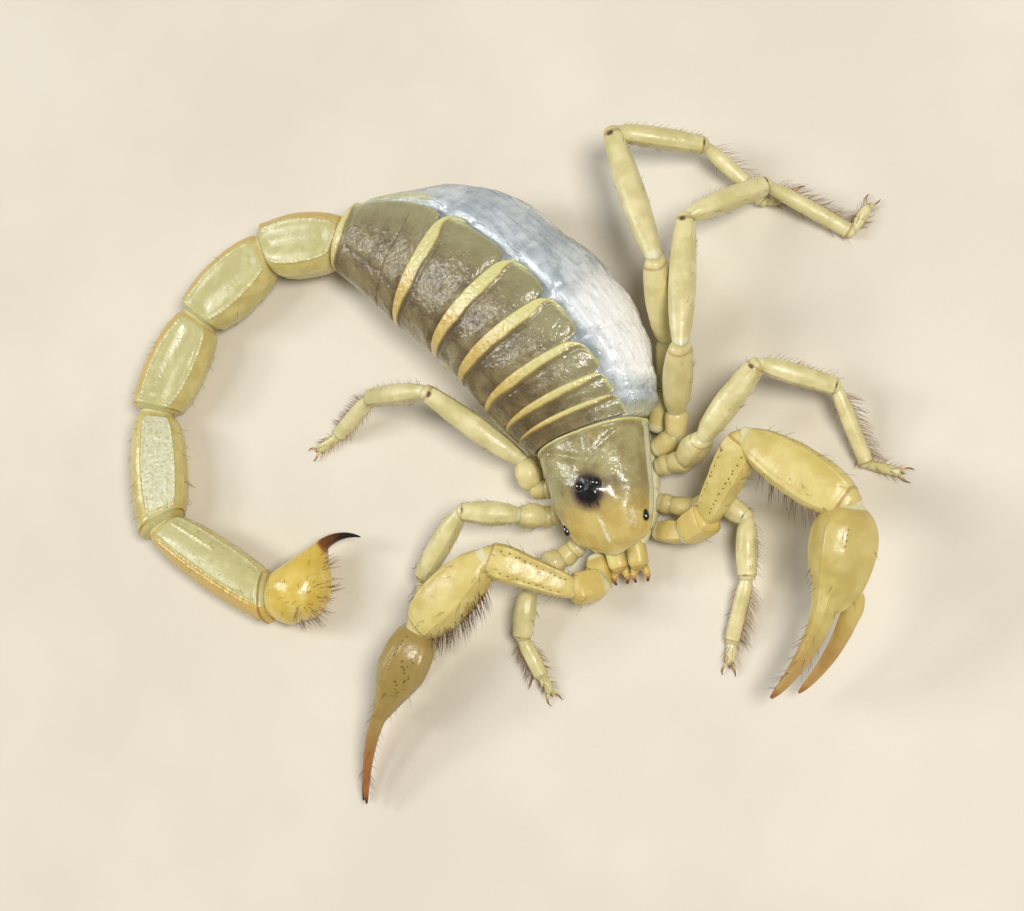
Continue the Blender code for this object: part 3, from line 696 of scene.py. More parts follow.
def membrane():
    """The soft skin: bare and pleated down the left side, tucked under the plates."""
    place = np.linspace(0.02, 6.995, 350)[:, None]
    angle = np.linspace(-180, 180, 250, endpoint=False)[None, :]
    back_left, back_right = blend(PLATE_LEFT, place), blend(PLATE_RIGHT, place)
    mm_per_degree = half_girth(place) * np.pi / 180
    out_left = (angle - back_left) * mm_per_degree
    out_belly = (BELLY_LEFT - angle) * mm_per_degree
    bare = smooth(out_left, -0.4, 1.0) * smooth(out_belly, -0.4, 0.8)
    right = smooth((back_right - angle) * mm_per_degree, -0.3, 0.5)
    right = right * smooth((angle + 360 - BELLY_RIGHT) * mm_per_degree, -0.3, 0.5)
    sunk = (PLATE + PLATE_GAP) * (1 - bare) - 0.1 * bare
    sunk = np.where(angle < -60, sunk - right * (PLATE + PLATE_GAP - 0.25), sunk)
    across = out_left / (out_left + out_belly + 1e-6)
    around = angle * mm_per_degree
    flow = np.stack(np.broadcast_arrays(place * 5.0, around, place * 0), -1)
    folds = np.stack(np.broadcast_arrays(place * 3.0, around * 5.0, place * 0), -1)
    pleats = noise(folds, 1.8, 3) * 0.6 + noise(folds, 0.9, 5) * 0.4
    seams = hill(place - np.round(place), 0.0, 0.07) * smooth(place, 0.5, 1.5)
    seams = seams * smooth(out_left, 6.5, 0.3)
    swell = np.sin(np.pi * np.clip(across, 0, 1)) * 0.25 * np.abs(np.sin(np.pi * place))
    frill = hill(across, 0.42, 0.05) * smooth(place, 4.2, 5.2) * (0.2 + 0.2 * noise(flow, 0.9, 9))
    ledge = hill(out_left, 0.8, 0.5) * between(place, 6.05, 6.35, 6.98, 6.8)
    lift = bare * (0.10 * pleats - 0.28 * seams + swell + frill + 0.05 * noise(flow, 0.5, 7))
    lift = lift + 0.3 * ledge - 0.85 * bare * smooth(place, 0.55, 0.02)
    points = trunk_point(place, angle, sunk - lift)
    # Where the painted highlight whitens the bare skin beside the middle plates.
    bright = hill(across, 0.4, 0.45) * between(place, 0.9, 1.9, 4.7, 3.5)
    tan = smooth(place, 0.8, 0.2) * 0.6 + smooth(place, 6.5, 6.95)
    tan = np.where(angle < -60, 1.0, np.maximum(tan, smooth(out_belly, 2.5, 0.2)))
    tan = np.maximum(tan, ledge)
    # Painted shade in the pleat hollows and along the seams between segments.
    crease = np.clip(-pleats * 1.2, 0, 1) * 0.5 + seams * 0.6
    # Where the wrinkle grooves get painted shade as dark lines.
    wrinkled = bare * hill(place, 5.1, 0.9) * hill(across, 0.36, 0.2)
    shape = Shape().hull(points, flip=False, bright=bright * bare, tan=tan, crease=crease * bare,
                         wrinkled=wrinkled, flow_u=place * 5.2, flow_v=around)
    piece("membrane_skin", shape, "membrane", "membrane", "abdomen")


# Width of the pale band at the rear of each back plate.
BAND = {1: 0.5, 2: 0.62, 3: 0.85, 4: 1.25, 5: 1.5, 6: 1.45, 7: 0.7}


def plate(name, outer, under, paint, slot, node, **values):
    """A thin plate as a piece of its own."""
    piece(name, Shape().sheet(outer, under, **values), paint, slot, node)


def tergite(number):
    """A back plate with rounded left corners, a raised rear border and a fine grain."""
    length = TRUNK[number][0]
    u = np.linspace(0, 1, int(length / 0.12) + 24)[:, None]
    v = np.linspace(0, 1, 200)[None, :]
    left, right = blend(PLATE_LEFT, number - 1 + u), blend(PLATE_RIGHT, number - 1 + u)
    girth = half_girth(number - 1 + u) * np.pi / 180
    from_left = v * (left - right) * girth
    from_right = (1 - v) * (left - right) * girth
    corner = min(1.9, length * 0.55) if number < 7 else 1.2
    rear_cut = corner * rounded(from_left, corner)
    front_cut = (0.7 if number > 1 else 0.3) * rear_cut
    rear_cut = rear_cut + 0.8 * rounded(from_right, 1.2)
    left_over = length - front_cut - rear_cut
    along = (front_cut + u * left_over) / length
    angle = left - v * (left - right)
    place = number - 1 + along
    from_rear, from_front = (1 - u) * left_over, u * left_over
    flat = trunk_point(place, angle, 0)
    band = BAND[number] * (1 + 0.12 * noise(flat, 2.2, 11))
    band = band * (0.55 + 0.45 * smooth(from_left, 0, 2.5))
    band = band * (0.6 + 0.4 * smooth(from_right, 0, 4.0))
    band = band * (0.8 + 0.45 * np.sin(np.pi * np.clip(v * 1.25, 0, 1)))
    if number == 7:
        band = band * (1.1 + 0.8 * v)
    lift = 0.12 + 0.10 * smooth(from_rear, band + 0.3, band - 0.1)
    lift -= 0.34 * smooth(from_front, 1.0, 0.0)
    lift -= 0.22 * smooth(from_rear, 0.22, 0.0) + 0.3 * smooth(from_left, 0.35, 0.0)
    lift -= 0.08 * hill(from_rear, band + 0.25, 0.2)
    inner = smooth(from_rear, band + 0.2, band + 0.8) * smooth(from_left, 0.3, 1.2)
    lift += inner * (0.10 * noise(flat, 2.0, 21) + 0.03 * noise(flat, 0.7, 22))
    lift += inner * 0.02 * grains(flat, 0.42, 23) * smooth(noise(flat, 1.5, 24), -0.5, 0.4)
    off_middle = (angle - (left + right) / 2 + 8) * girth
    furrow = hill(off_middle, 0.0, 0.35) * inner * (1 if number > 2 else 0.5)
    dents = sum(hill(off_middle, side, 0.9) for side in (-3, 3)) * hill(along, 0.42, 0.16) * inner
    lift -= 0.05 * furrow + 0.12 * dents
    crack = 0
    if number == 7:
        # The cross groove of the last plate, darkened there as painted shade.
        crack = hill(along, 0.30 + 0.03 * noise(flat, 2.0, 31), 0.012) * smooth(from_left, 0.5, 2.0)
        lift -= 0.12 * crack
        for side in (-2.1, 2.1):
            ridge = hill(off_middle, side, 0.22) * between(along, 0.42, 0.6, 0.93, 0.82)
            lift += 0.08 * ridge * (0.6 + 0.4 * grains(flat, 0.5, 33))
        lift += 0.14 * hill(from_left, 0.55, 0.3)
    plate(f"tergite_{number}_plate", trunk_point(place, angle, -lift),
          trunk_point(place, angle, PLATE), "tergite", "back_plate", f"tergite_{number}",
          band=band - from_rear, side=from_left, tip=from_rear, crack=crack,
          edge=from_left * (1 if number < 7 else 0.6) + 0.35 * smooth(from_rear, 0.9, 3.0),
          # Painted shade in the furrow and the dents.
          groove=np.clip(furrow + dents, 0, 1),
          # Where the painted highlight lies on each plate.
          sheen=hill(v, 0.165 + 0.035 * number, 0.15) * inner)


def rounded(inside, radius):
    """How much of a corner is cut away, for distances in from its side."""
    return 1 - np.sqrt(1 - np.clip(1 - inside / radius, 0, 1) ** 2)


def sternite(number):
    """A belly plate, with a breathing slit near each side on all but the last."""
    length = TRUNK[number][0]
    u = np.linspace(0.012, 0.988, int(length / 0.2) + 16)[:, None]
    v = np.linspace(0, 1, 110)[None, :]
    angle = BELLY_LEFT + (BELLY_RIGHT - BELLY_LEFT) * v
    place = number - 1 + u + 0 * v
    from_rear = (1 - u) * length
    side = np.minimum(v, 1 - v) * (BELLY_RIGHT - BELLY_LEFT) * half_girth(place) * np.pi / 180
    lift = 0.05 * noise(trunk_point(place, angle, 0), 1.2, 41) * smooth(side, 0.0, 1.0)
    lift -= 0.2 * smooth(side, 0.5, 0.0) + 0.2 * smooth(from_rear, 0.3, 0.0)
    if number < 7:
        for slit in (0.2, 0.8):
            lift -= 0.25 * hill(v, slit, 0.03) * hill(u, 0.45, 0.05)
    plate(f"sternite_{number}_plate", on_floor(trunk_point(place, angle, -lift)),
          trunk_point(place, angle, PLATE), "sternite", "belly_plate", f"sternite_{number}",
          band=0.8 - from_rear)


# ---------------------------------------------------------------- head
# Distance ahead of the waist, which is negative here, then half width and height.
CARAPACE = np.array([
    (-0.6, 5.9, 9.3), (-3.5, 5.5, 9.3), (-6.5, 5.15, 9.1),
    (-9.0, 4.5, 8.0), (-11.0, 3.4, 6.6), (-12.3, 1.5, 5.0),
])
CARAPACE_RIM = 3.9
HEAD_BEARING, HEAD_SHIFT, HEAD_TURN = -77, -0.35, (-72, -84)
EYE_RADIUS, EYE_SPREAD, EYE_AHEAD, EYE_HEIGHT = 0.6, 0.85, -6.0, 9.2


def prosoma_place(ahead):
    """The middle of the head at distances ahead of the waist, and its left."""
    ahead = np.asarray(ahead, float)
    turn = HEAD_TURN[0] + (HEAD_TURN[1] - HEAD_TURN[0]) * ahead / CARAPACE[-1, 0]
    middle = WAIST + direction(HEAD_BEARING + 90) * HEAD_SHIFT
    return middle - ahead[..., None] * direction(HEAD_BEARING), direction(turn + 90)


def carapace_point(ahead, angle, lift=0.0):
    """Points of the head shield at distances ahead and at degrees from the top to the left."""
    ahead, angle, lift = np.broadcast_arrays(*[np.asarray(x, float) for x in (ahead, angle, lift)])
    knots = np.vstack([CARAPACE[::-1], [(0.3, 6.0, 9.1)]])
    half, top = np.moveaxis(curve(knots, ahead), -1, 0)
    centre, left = prosoma_place(ahead)
    side, tall = sin_cos(angle)
    across = (half + lift) * bulge(side, 0.85)
    height = CARAPACE_RIM + (top + lift - CARAPACE_RIM) * np.maximum(tall, 0) ** 0.75
    return centre + left * across[..., None] + UP * height[..., None]


def carapace():
    """The head shield: brows and mound of the middle eyes, grooves, pits and a raised rim."""
    row = np.linspace(0, 1, 180)[:, None]
    angle = np.linspace(90, -90, 260)[None, :]
    share = angle / 90
    front, rear = -12.35, -0.1
    front_here = front + 1.5 * np.abs(share) ** 2.4
    ahead = rear + (front_here - rear) * row
    flat = carapace_point(ahead, angle)
    middle, left = prosoma_place(ahead)
    across = ((flat - middle) * left).sum(-1)
    from_rear = rear - ahead
    from_front = ahead - front_here
    from_rim = (90 - np.abs(angle)) / 90 * 6.5
    aside = np.abs(across)
    # The mound of the middle eyes, the furrows behind and before it, and the brows.
    brow = hill(aside, 0.42, 0.2) * between(ahead, -6.6, -7.1, -8.8, -7.8)
    lift = 0.42 * np.exp(-((across / 1.15) ** 2 + ((ahead - EYE_AHEAD) / 1.5) ** 2) ** 1.5)
    lift += 0.09 * brow - 0.10 * hill(across, 0, 0.3) * smooth(ahead, -4.8, -4.1)
    lift -= 0.14 * hill(across, 0, 0.55) * between(ahead, -7.4, -8.4, -12.2, -11.2)
    # The curved groove, a pit on each side and a swelling in front of it.
    lift -= 0.28 * hill(ahead, 0.55 * aside - 3.4, 0.45) * smooth(aside, 5.2, 3.6)
    lift -= 0.25 * hill(aside, 3.1, 0.9) * hill(ahead, -6.6, 1.2)
    lift += 0.10 * hill(aside, 3.6, 0.6) * hill(ahead, -9.6, 1.3)
    # The raised rim.
    lift += 0.10 * hill(from_front, 0.25, 0.14) - 0.22 * smooth(from_front, 0.55, 0.1)
    lift += 0.05 * smooth(from_rear, 0.4, 0.2) - 0.18 * hill(from_rear, 0.55, 0.2)
    lift += 0.12 * hill(from_rim, 0.45, 0.3) - 0.15 * smooth(from_rim, 0.4, 0.0)
    lift -= 0.25 * smooth(from_rear, 0.15, 0.0)
    # Swells and grain, and a crumpled patch beside the front of the left eye.
    crumpled = hill(across, 3.1, 0.8) * hill(ahead, -9.3, 1.2)
    lift += 0.06 * noise(flat, 1.8, 51) + 0.02 * noise(flat, 0.6, 52) * smooth(ahead, -9.5, -6.0)
    grain = grains(flat, 0.5, 53) * smooth(noise(flat, 1.8, 54), -0.2, 0.5)
    lift += 0.03 * grain * smooth(ahead, -7.0, -3.5) + 0.07 * crumpled * noise(flat, 0.55, 55)
    outer = carapace_point(ahead, angle, lift)
    past_eyes = ahead - EYE_AHEAD
    smudge = np.exp(-(((across + 0.25) / 1.8) ** 2 + ((past_eyes + 0.45) / 1.9) ** 2) ** 1.3)
    wing = hill(across, 1.9, 2.0) * hill(past_eyes, 0, 1.1)
    smudge = np.maximum(smudge, np.maximum(0.42 * wing, 0.75 * brow))
    # Where the painted highlight runs along the middle of the front.
    streak = hill(across, 0.1, 0.24) * between(ahead, -8.6, -9.1, -11.7, -11.2)
    under = carapace_point(ahead, angle, lift - 0.35)
    under[..., 2] = np.maximum(under[..., 2] - 0.1, CARAPACE_RIM - 0.05)
    plate("carapace_shield", outer, under, "carapace", "head_shield", "carapace",
          front=ahead / front, smudge=smudge, side=from_rim, rim=np.minimum(from_front, from_rim),
          rear=from_rear, streak=streak,
          # Painted glare beside the left side eyes, and pale scratches on the rear.
          pale=np.maximum(0.9 * crumpled, 0.7 * hill(np.hypot(across - 1.8, ahead + 2.6), 0, 1.5)),
          margin=smooth(from_rim, 1.25, 0.75) * smooth(share, 0, 0.2) * smooth(ahead, -9.8, -8.6))


def ball_rings(radius, rows):
    """A ball round the origin, as rings from its top to its bottom."""
    side = unit(np.array([-1.0, 0.3, 0.0]))
    turn = np.linspace(0.02, np.pi - 0.02, rows)[:, None, None]
    around = (np.arange(28) * 2 * np.pi / 28)[None, :, None]
    flat = np.sin(turn) * (np.cos(around) * side + np.sin(around) * np.cross(UP, side))
    return radius * (flat + np.cos(turn) * UP)


def eyes():
    """Two round middle eyes, and a row of small side eyes as one long bead on each side."""
    middle, left = prosoma_place(EYE_AHEAD)
    forward = direction(HEAD_BEARING)
    for name, sign in (("left", 1), ("right", -1)):
        centre = middle + left * sign * EYE_SPREAD + UP * (EYE_HEIGHT + 0.12)
        lens = Shape().hull(centre + ball_rings(EYE_RADIUS, 18), flip=False)
        piece(f"eye_median_{name}_lens", lens, "eye", "eye", f"eye_median_{name}")
    for name, sign in (("left", 1), ("right", -1)):
        ball = ball_rings(0.35, 20)
        stretch = (ball @ forward)[..., None]
        row = carapace_point(-9.2, sign * 68, 0.04) + ball
        row = row + forward * stretch * 0.9 - UP * 0.25 * stretch**2
        piece(f"eye_lateral_{name}_lenses", Shape().hull(row, flip=False), "eye", "eye",
              f"eye_lateral_{name}")


# Distance ahead, half width and lowest height.
CHEST = np.array([
    (-0.7, 5.3, 1.6), (-3.5, 5.4, 1.0), (-6.5, 5.1, 1.0),
    (-9.0, 4.3, 1.3), (-10.3, 3.5, 1.8), (-11.6, 2.5, 2.3),
])


def coxosternum():
    """The hips and breastbone: four pairs of lobes round a small five-sided plate."""
    ahead = np.linspace(CHEST[-1, 0], CHEST[0, 0], 130)[:, None]
    side, tall = sin_cos(np.arange(160)[None, :] * 360 / 160)
    half, bottom = np.moveaxis(curve(CHEST[::-1], ahead), -1, 0)
    top = CARAPACE_RIM - 0.15
    middle, left = prosoma_place(ahead)
    across = half * bulge(side, 2 / 3.5)
    raised = bulge(tall, 2 / 3.5) * (top - bottom) / 2
    centre = middle + UP * ((top + bottom) / 2)[..., None]
    flat = centre + left * across[..., None] + UP * raised[..., None]
    line = ahead + 0.45 * np.abs(across)
    grooves = sum(hill(line, spot, 0.16) for spot in (-8.3, -6.2, -4.0, -1.6))
    seam = hill(across, 0, 0.16) * smooth(ahead, -3.0, -4.0)
    below = smooth(tall, 0.2, -0.3)
    dent = (0.3 * grooves + 0.25 * seam) * (0.4 + 0.6 * below) + 0.04 * noise(flat, 0.8, 61)
    # The grooves between the hips get painted shade through the keel value.
    shape = Shape().hull(flat - unit(flat - centre) * dent[..., None],
                         skin=0.7 * smooth(tall, -0.5, 0.1), keel=np.clip(grooves, 0, 1) * 0.6)
    piece("coxosternum_plates", shape, "leg", "leg", "coxosternum")


# The block's rear and front: distance ahead, distance aside and height.
CHELICERA = [(-10.7, 1.15, 3.1), (-13.5, 1.05, 2.7)]


def chelicerae():
    """Short blocks with a fixed and a movable finger each, meeting in front of the mouth."""
    _, left = prosoma_place(-12.5)
    forward = np.cross(left, UP)
    steps = np.linspace(0, 1, 26)
    for side, sign in (("L", 1), ("R", -1)):
        back, ahead = [prosoma_place(x)[0] + left * (sign * aside + 0.6) + UP * z
                       for x, aside, z in CHELICERA]
        outline = [(0, .85, .85), (.3, 1, 1), (.8, 1, 1), (1, .8, .85)]
        block = Limb(back, ahead, UP, 0.98, 1.08, outline, power=2.6, dome=(0.4, 0.5))
        points, place, _ = block.rings(40, 48)
        shape = Shape().hull(points, lip=smooth(place, 0.9, 1.0))
        for out, lean, drop in ((1, -0.15, 0.1), (-1, 0.2, 0.0)):
            root = ahead + left * sign * out * 0.378 - UP * drop
            aside = sign * (np.sin(steps * np.pi * 0.75) * 0.42 * out + lean * steps * 0.6)
            path = root + forward * (steps * 1.5)[:, None] + left * aside[:, None]
            path = path - UP * (0.35 * steps**2)[:, None]
            teeth = 1 + 0.12 * np.sin(steps * 30) * (steps > 0.3)
            shape.tube(path, 0.46 * (1 - 0.82 * steps**1.3) * teeth, 20,
                       dark=smooth(steps, 0.35, 1.0), amber=smooth(steps, 0.0, 0.4))
        piece(f"chelicera_{side}_jaw", shape, "palp", "head_shield", f"chelicera_{side}")


PECTEN_ANGLE, PECTEN_REACH = 50, 6.2


def pectines():
    """Two combs under the waist, each a jointed blade with a row of flat teeth."""
    back, teeth = TRUNK[0][2], 26
    steps, tooth = np.linspace(0, 1, 60), np.linspace(0, 1, 9)
    for side, sign in (("L", 1), ("R", -1)):
        hub = WAIST + direction(back) * 0.9 + direction(back - 90) * sign * 0.9 + UP * 0.75
        along = direction(back - sign * PECTEN_ANGLE)
        across = direction(back - sign * (PECTEN_ANGLE - 90))
        blade = (0.24 + 0.05 * np.sin(steps * 60)) * (1 - 0.4 * steps**4)
        shape = Shape().tube(hub + along * (steps * PECTEN_REACH)[:, None], blade, 16, flat=1.6)
        for share in (np.arange(teeth) + 0.5) / teeth:
            root = hub + along * share * (PECTEN_REACH - 0.1) + across * 0.2
            size = 1.15 * (0.75 + 0.25 * np.sin(np.pi * share))
            path = root + across * (tooth * size)[:, None] - UP * (0.12 * tooth)[:, None]
            width = 0.105 * (0.75 + 0.45 * np.sin(tooth * 2.6)) * np.sqrt(1.02 - tooth**4)
            shape.tube(path, width, 8, amber=tooth * 0.3)
        piece(f"pecten_{side}_comb", shape, "leg", "leg", f"pecten_{side}")


# ---------------------------------------------------------------- tail
TAIL_START = np.array([-18.3, 23.3, 4.6])
# Length, bearing, half width, half height and roll of each length.
TAIL = [
    (9.4, 181, 3.4, 2.9, 4),
    (10.7, 219, 3.25, 2.9, 12),
    (11.4, 244, 3.15, 2.9, 18),
    (13.0, 277, 3.0, 2.9, 26),
    (15.8, 329, 2.75, 2.8, 98),
]
# Heights of the joints.
TAIL_HEIGHTS = [4.6, 4.0, 3.4, 2.95, 2.75, 2.75]
# Share of the length, then of the half width and of the half height.
TAIL_OUTLINE = [
    (0.0, .54, .56), (.03, .60, .62), (.09, .78, .78), (.2, .91, .90), (.38, 1.0, .99),
    (.62, 1.03, 1.02), (.8, .98, .98), (.92, .90, .90), (.97, .87, .87), (1.0, .76, .76),
]
VESICLE_LENGTH, VESICLE_BEARING, VESICLE_ROLL, VESICLE_LIFT = 8.2, 36, 88, 0.25
# Share of the length, half width, and reach over and under the axis.
VESICLE = np.array([
    (0.0, 1.5, 1.45, 1.7), (.04, 1.75, 1.55, 2.3), (.13, 2.5, 1.7, 3.9), (.38, 3.1, 1.7, 4.8),
    (.62, 2.8, 1.6, 4.1), (.82, 1.8, 1.55, 2.2), (.93, 1.1, 1.5, 0.4), (1.0, 0.72, 1.45, -0.35),
])
STING_RISE = 0.9
# The sting: first and last bearing, length and thickness; and how far it starts in the bulb.
STING, STING_SUNK = (38, -18, 4.3, 0.55), 0.35


def tail_joints():
    """The joints of the tail, from the trunk to the bulb."""
    points = walk(TAIL_START, [(length, bearing, 0) for length, bearing, *_ in TAIL])
    for point, height in zip(points, TAIL_HEIGHTS):
        point[2] = height
    return points


def beads(place, count, seed):
    """A row of uneven beads along a keel, 1 on each bead."""
    step = place * count
    step = step + 0.25 * np.sin(1.7 * step + seed) + 0.1 * np.sin(3.1 * step + 2 * seed)
    index = np.floor(step)
    cells = np.stack([index, index * 0 + seed, index * 0], -1).astype(np.int64)
    size = 0.6 + 0.4 * hashed(cells, seed)
    return size * np.abs(np.sin(np.pi * step)) ** 0.7


def both_sides(rows):
    """The same keels on the left and on the right."""
    return {sign * middle: keel for middle, keel in rows.items() for sign in (1, -1)}


# Keels of the tail: angle from the top, then width in degrees, height, beads, first and last place.
SIDE_KEELS = both_sides({76: (3.4, 0.08, 24, 0.14, 0.95), 125: (5, 0.10, 18, 0.14, 0.95),
                         160: (5, 0.10, 18, 0.14, 0.95)})
BACK_KEEL = (3.4, 0.21, 26, 0.08, 0.97)
FRONT_KEELS = both_sides({36: BACK_KEEL}) | SIDE_KEELS
TAIL_KEELS = {
    1: FRONT_KEELS, 2: FRONT_KEELS, 3: FRONT_KEELS,
    4: {28: BACK_KEEL, -30: BACK_KEEL} | SIDE_KEELS | {
        11: (2.6, 0.12, 30, 0.5, 0.97), 54: (2.8, 0.09, 28, 0.35, 0.95)},
    5: {46: (3.6, 0.12, 34, 0.08, 0.72), -50: (3.4, 0.18, 34, 0.05, 0.96),
        80: (3, 0.10, 30, 0.08, 0.55), -76: (3.2, 0.16, 32, 0.08, 0.55),
        128: (3.6, 0.2, 32, 0.10, 0.98), -120: (3.4, 0.26, 33, 0.06, 0.98),
        -129: (3.2, 0.22, 31, 0.06, 0.97), 180: (5, 0.2, 26, 0.12, 0.97)},
}


def keel_rows(number, turn, place):
    """For each keel, its crest, beads, where it runs, degrees away from it, width and height.

    Those on the back bow apart in the middle of the length.
    """
    for middle, (width, height, count, first, last) in TAIL_KEELS[number].items():
        bow = 0.74 + 0.26 * np.sin(np.pi * place) ** 0.7 if abs(middle) < 40 else 1.0
        off = np.abs(signed(turn - middle * bow))
        gate = between(place, first, first + 0.05, last, last - 0.04)
        row = beads(place + 0.003 * middle, count, int(middle) + 400)
        yield gate * hill(off, 0, width), row, gate, off, width, height


def tail_relief(number):
    """Keels, furrow and grains of one tail length."""
    def relief(place, angle, limb):
        turn = signed(angle)
        total = np.zeros_like(place)
        for crest, row, *_, height in keel_rows(number, turn, place):
            total += height * crest * (0.45 + 0.55 * row)
        furrow = hill(turn, 0, 20) * between(place, 0.04, 0.2, 1.0, 0.85)
        total -= (0.5 if number < 4 else 0.25) * furrow
        cloud = limb.cloud(place, turn, 2.9)
        under = smooth(np.abs(turn), 95, 130)
        body = smooth(place, 0.08, 0.14)
        total += grains(cloud, 0.45, 70 + number) * body * (0.01 + 0.03 * under)
        if number == 4:
            face = smooth(np.abs(turn), 34, 26) * body * smooth(place, 0.75, 0.5)
            total += 0.06 * face * noise(cloud, 0.7, 75)
        if number == 5:
            wart = grains(cloud, 0.62, 77) * smooth(turn, 96, 118) * smooth(place, 0.55, 0.95)
            total += 0.15 * wart
        total += body * 0.03 * noise(cloud, 1.2, 78)
        return total + 0.06 * hill(place, 0.98, 0.012) - 0.04 * hill(place, 0.955, 0.012)

    return relief


def tail_limbs():
    """The five tail lengths, each with its own frame, as swept limbs."""
    points = tail_joints()
    ways = [unit(b - a) for a, b in zip(points, points[1:])] + [direction(VESICLE_BEARING)]
    first = direction(TRUNK[-1][2])
    limbs = []
    for i, (_, bearing, half_width, half_height, roll) in enumerate(TAIL):
        last = unit(ways[i] + ways[i + 1])
        limbs.append(Limb(
            points[i] + first * 0.1, points[i + 1] - last * 0.12, rolled(bearing, roll), half_width,
            half_height, TAIL_OUTLINE, power=2.5, relief=tail_relief(i + 1), dome=(0.5, 0.25),
            faces=(first, last), slide=0.25))
        first = last
    return limbs


def rolled(bearing, roll):
    """The upper side of a length that points to a bearing and is rolled about itself."""
    return UP * np.cos(np.radians(roll)) + direction(bearing + 90) * np.sin(np.radians(roll))


def tail():
    """The five lengths of the tail, with values for their keels, painted highlights on the beads,
    painted shade in the pits, and pale faces.
    """
    limbs = tail_limbs()
    for number, limb in enumerate(limbs, 1):
        points, place, angle = limb.rings(int(limb.length / 0.1), 200)
        turn = signed(angle)
        bead, pit = 0, 0
        for crest, row, gate, off, width, height in keel_rows(number, turn, place):
            # Painted highlights on the bead tops.
            bead = np.maximum(bead, crest * row * smooth(height, 0.06, 0.16))
            # Painted shade in the pits beside the keels, between the beads.
            deep = hill(off, width * 1.1, width * 0.5) * smooth(height, 0.1, 0.22)
            pit = np.maximum(pit, gate * deep * smooth(row, 0.45, 0.1))
        if number == 5:
            face = between(turn, -40, -50, -122, -114) * smooth(place, 0.03, 0.08)
            outer = np.where(turn > 90, 1.0, smooth(turn, -114, -124))
        else:
            edge = 37 if number < 4 else 29
            face = smooth(np.abs(turn), edge + 4, edge - 3) * smooth(place, 0.04, 0.1)
            outer = smooth(np.abs(turn + 80), 45, 25) * (number < 4)
        shape = Shape().hull(
            on_floor(points, 0.02), face=face, bead=bead, pit=pit, outer=outer,
            # The pale rough face, whitened further by a painted highlight.
            rough=face * smooth(place, 1.0, 0.8) * (number == 4), skin=smooth(place, 0.045, 0.02),
            lip=hill(place, 0.99, 0.009) * (0.55 + 0.45 * smooth(np.abs(turn), 20, 60)))
        piece(f"metasoma_{number}_shell", shape, "tail", "tail", f"metasoma_{number}")
    return limbs


def telson():
    """The bulb, lying on its side, and the sting that bends back over it."""
    way = direction(VESICLE_BEARING)
    up = rolled(VESICLE_BEARING, VESICLE_ROLL)
    left = unit(np.cross(up, way))
    face = unit(direction(TAIL[-1][1]) + way)
    root = tail_joints()[-1] + face * 0.15 + UP * VESICLE_LIFT

    def at(place, turn, lift=0.0):
        width, over, under = np.moveaxis(curve(VESICLE, place), -1, 0)
        across = (width + lift) * bulge(np.sin(turn), 2 / 2.2)
        raised = ((over + under) / 2 + lift) * bulge(np.cos(turn), 2 / 2.2)
        centre = root + way * (place * VESICLE_LENGTH)[..., None]
        centre = centre + up * ((over - under) / 2)[..., None]
        point = centre + left * across[..., None] + up * raised[..., None]
        slip = -((point - centre) @ face) / (way @ face) * np.clip(1 - place / 0.2, 0, 1)
        return point + way * slip[..., None]

    degrees = np.arange(150) * 360 / 150
    place, turn = np.meshgrid(np.linspace(0, 1, 110), np.radians(degrees), indexing="ij")
    flat = at(place, turn)
    below = smooth(np.cos(turn), 0.2, -0.6)
    lift = 0.03 * noise(flat, 1.4, 81) + 0.04 * grains(flat, 0.6, 82) * below
    lift -= 0.07 * hill(degrees, 180, 10) * smooth(place, 0.1, 0.3)
    lift = lift * smooth(place, 0.05, 0.15) + 0.08 * hill(place, 0.06, 0.02)
    bulb = Shape().hull(on_floor(at(place, turn, lift), 0.02), skin=smooth(place, 0.05, 0.03),
                        tip=0.55 * smooth(place, 0.9, 1.0))
    piece("telson_vesicle_bulb", bulb, "telson", "sting", "telson_vesicle")
    first, last, length, radius = STING
    steps = np.linspace(0, 1, 70)
    hops = direction(first + (last - first) * steps) * (length + STING_SUNK) / 69
    path = root + way * (VESICLE_LENGTH - STING_SUNK) + up * STING_RISE + np.cumsum(hops, axis=0)
    size = (radius * (1 - steps) ** 1.1 + 0.24 * (1 - steps) ** 0.4) * 0.86 + 0.02
    sting = Shape().tube(path, size, 40, tip=0.55 + 0.45 * steps)
    piece("aculeus_point", sting, "telson", "sting", "aculeus")
    return at


# ---------------------------------------------------------------- legs
# Number of the first length below the knee, counted from 0.
KNEE = 4
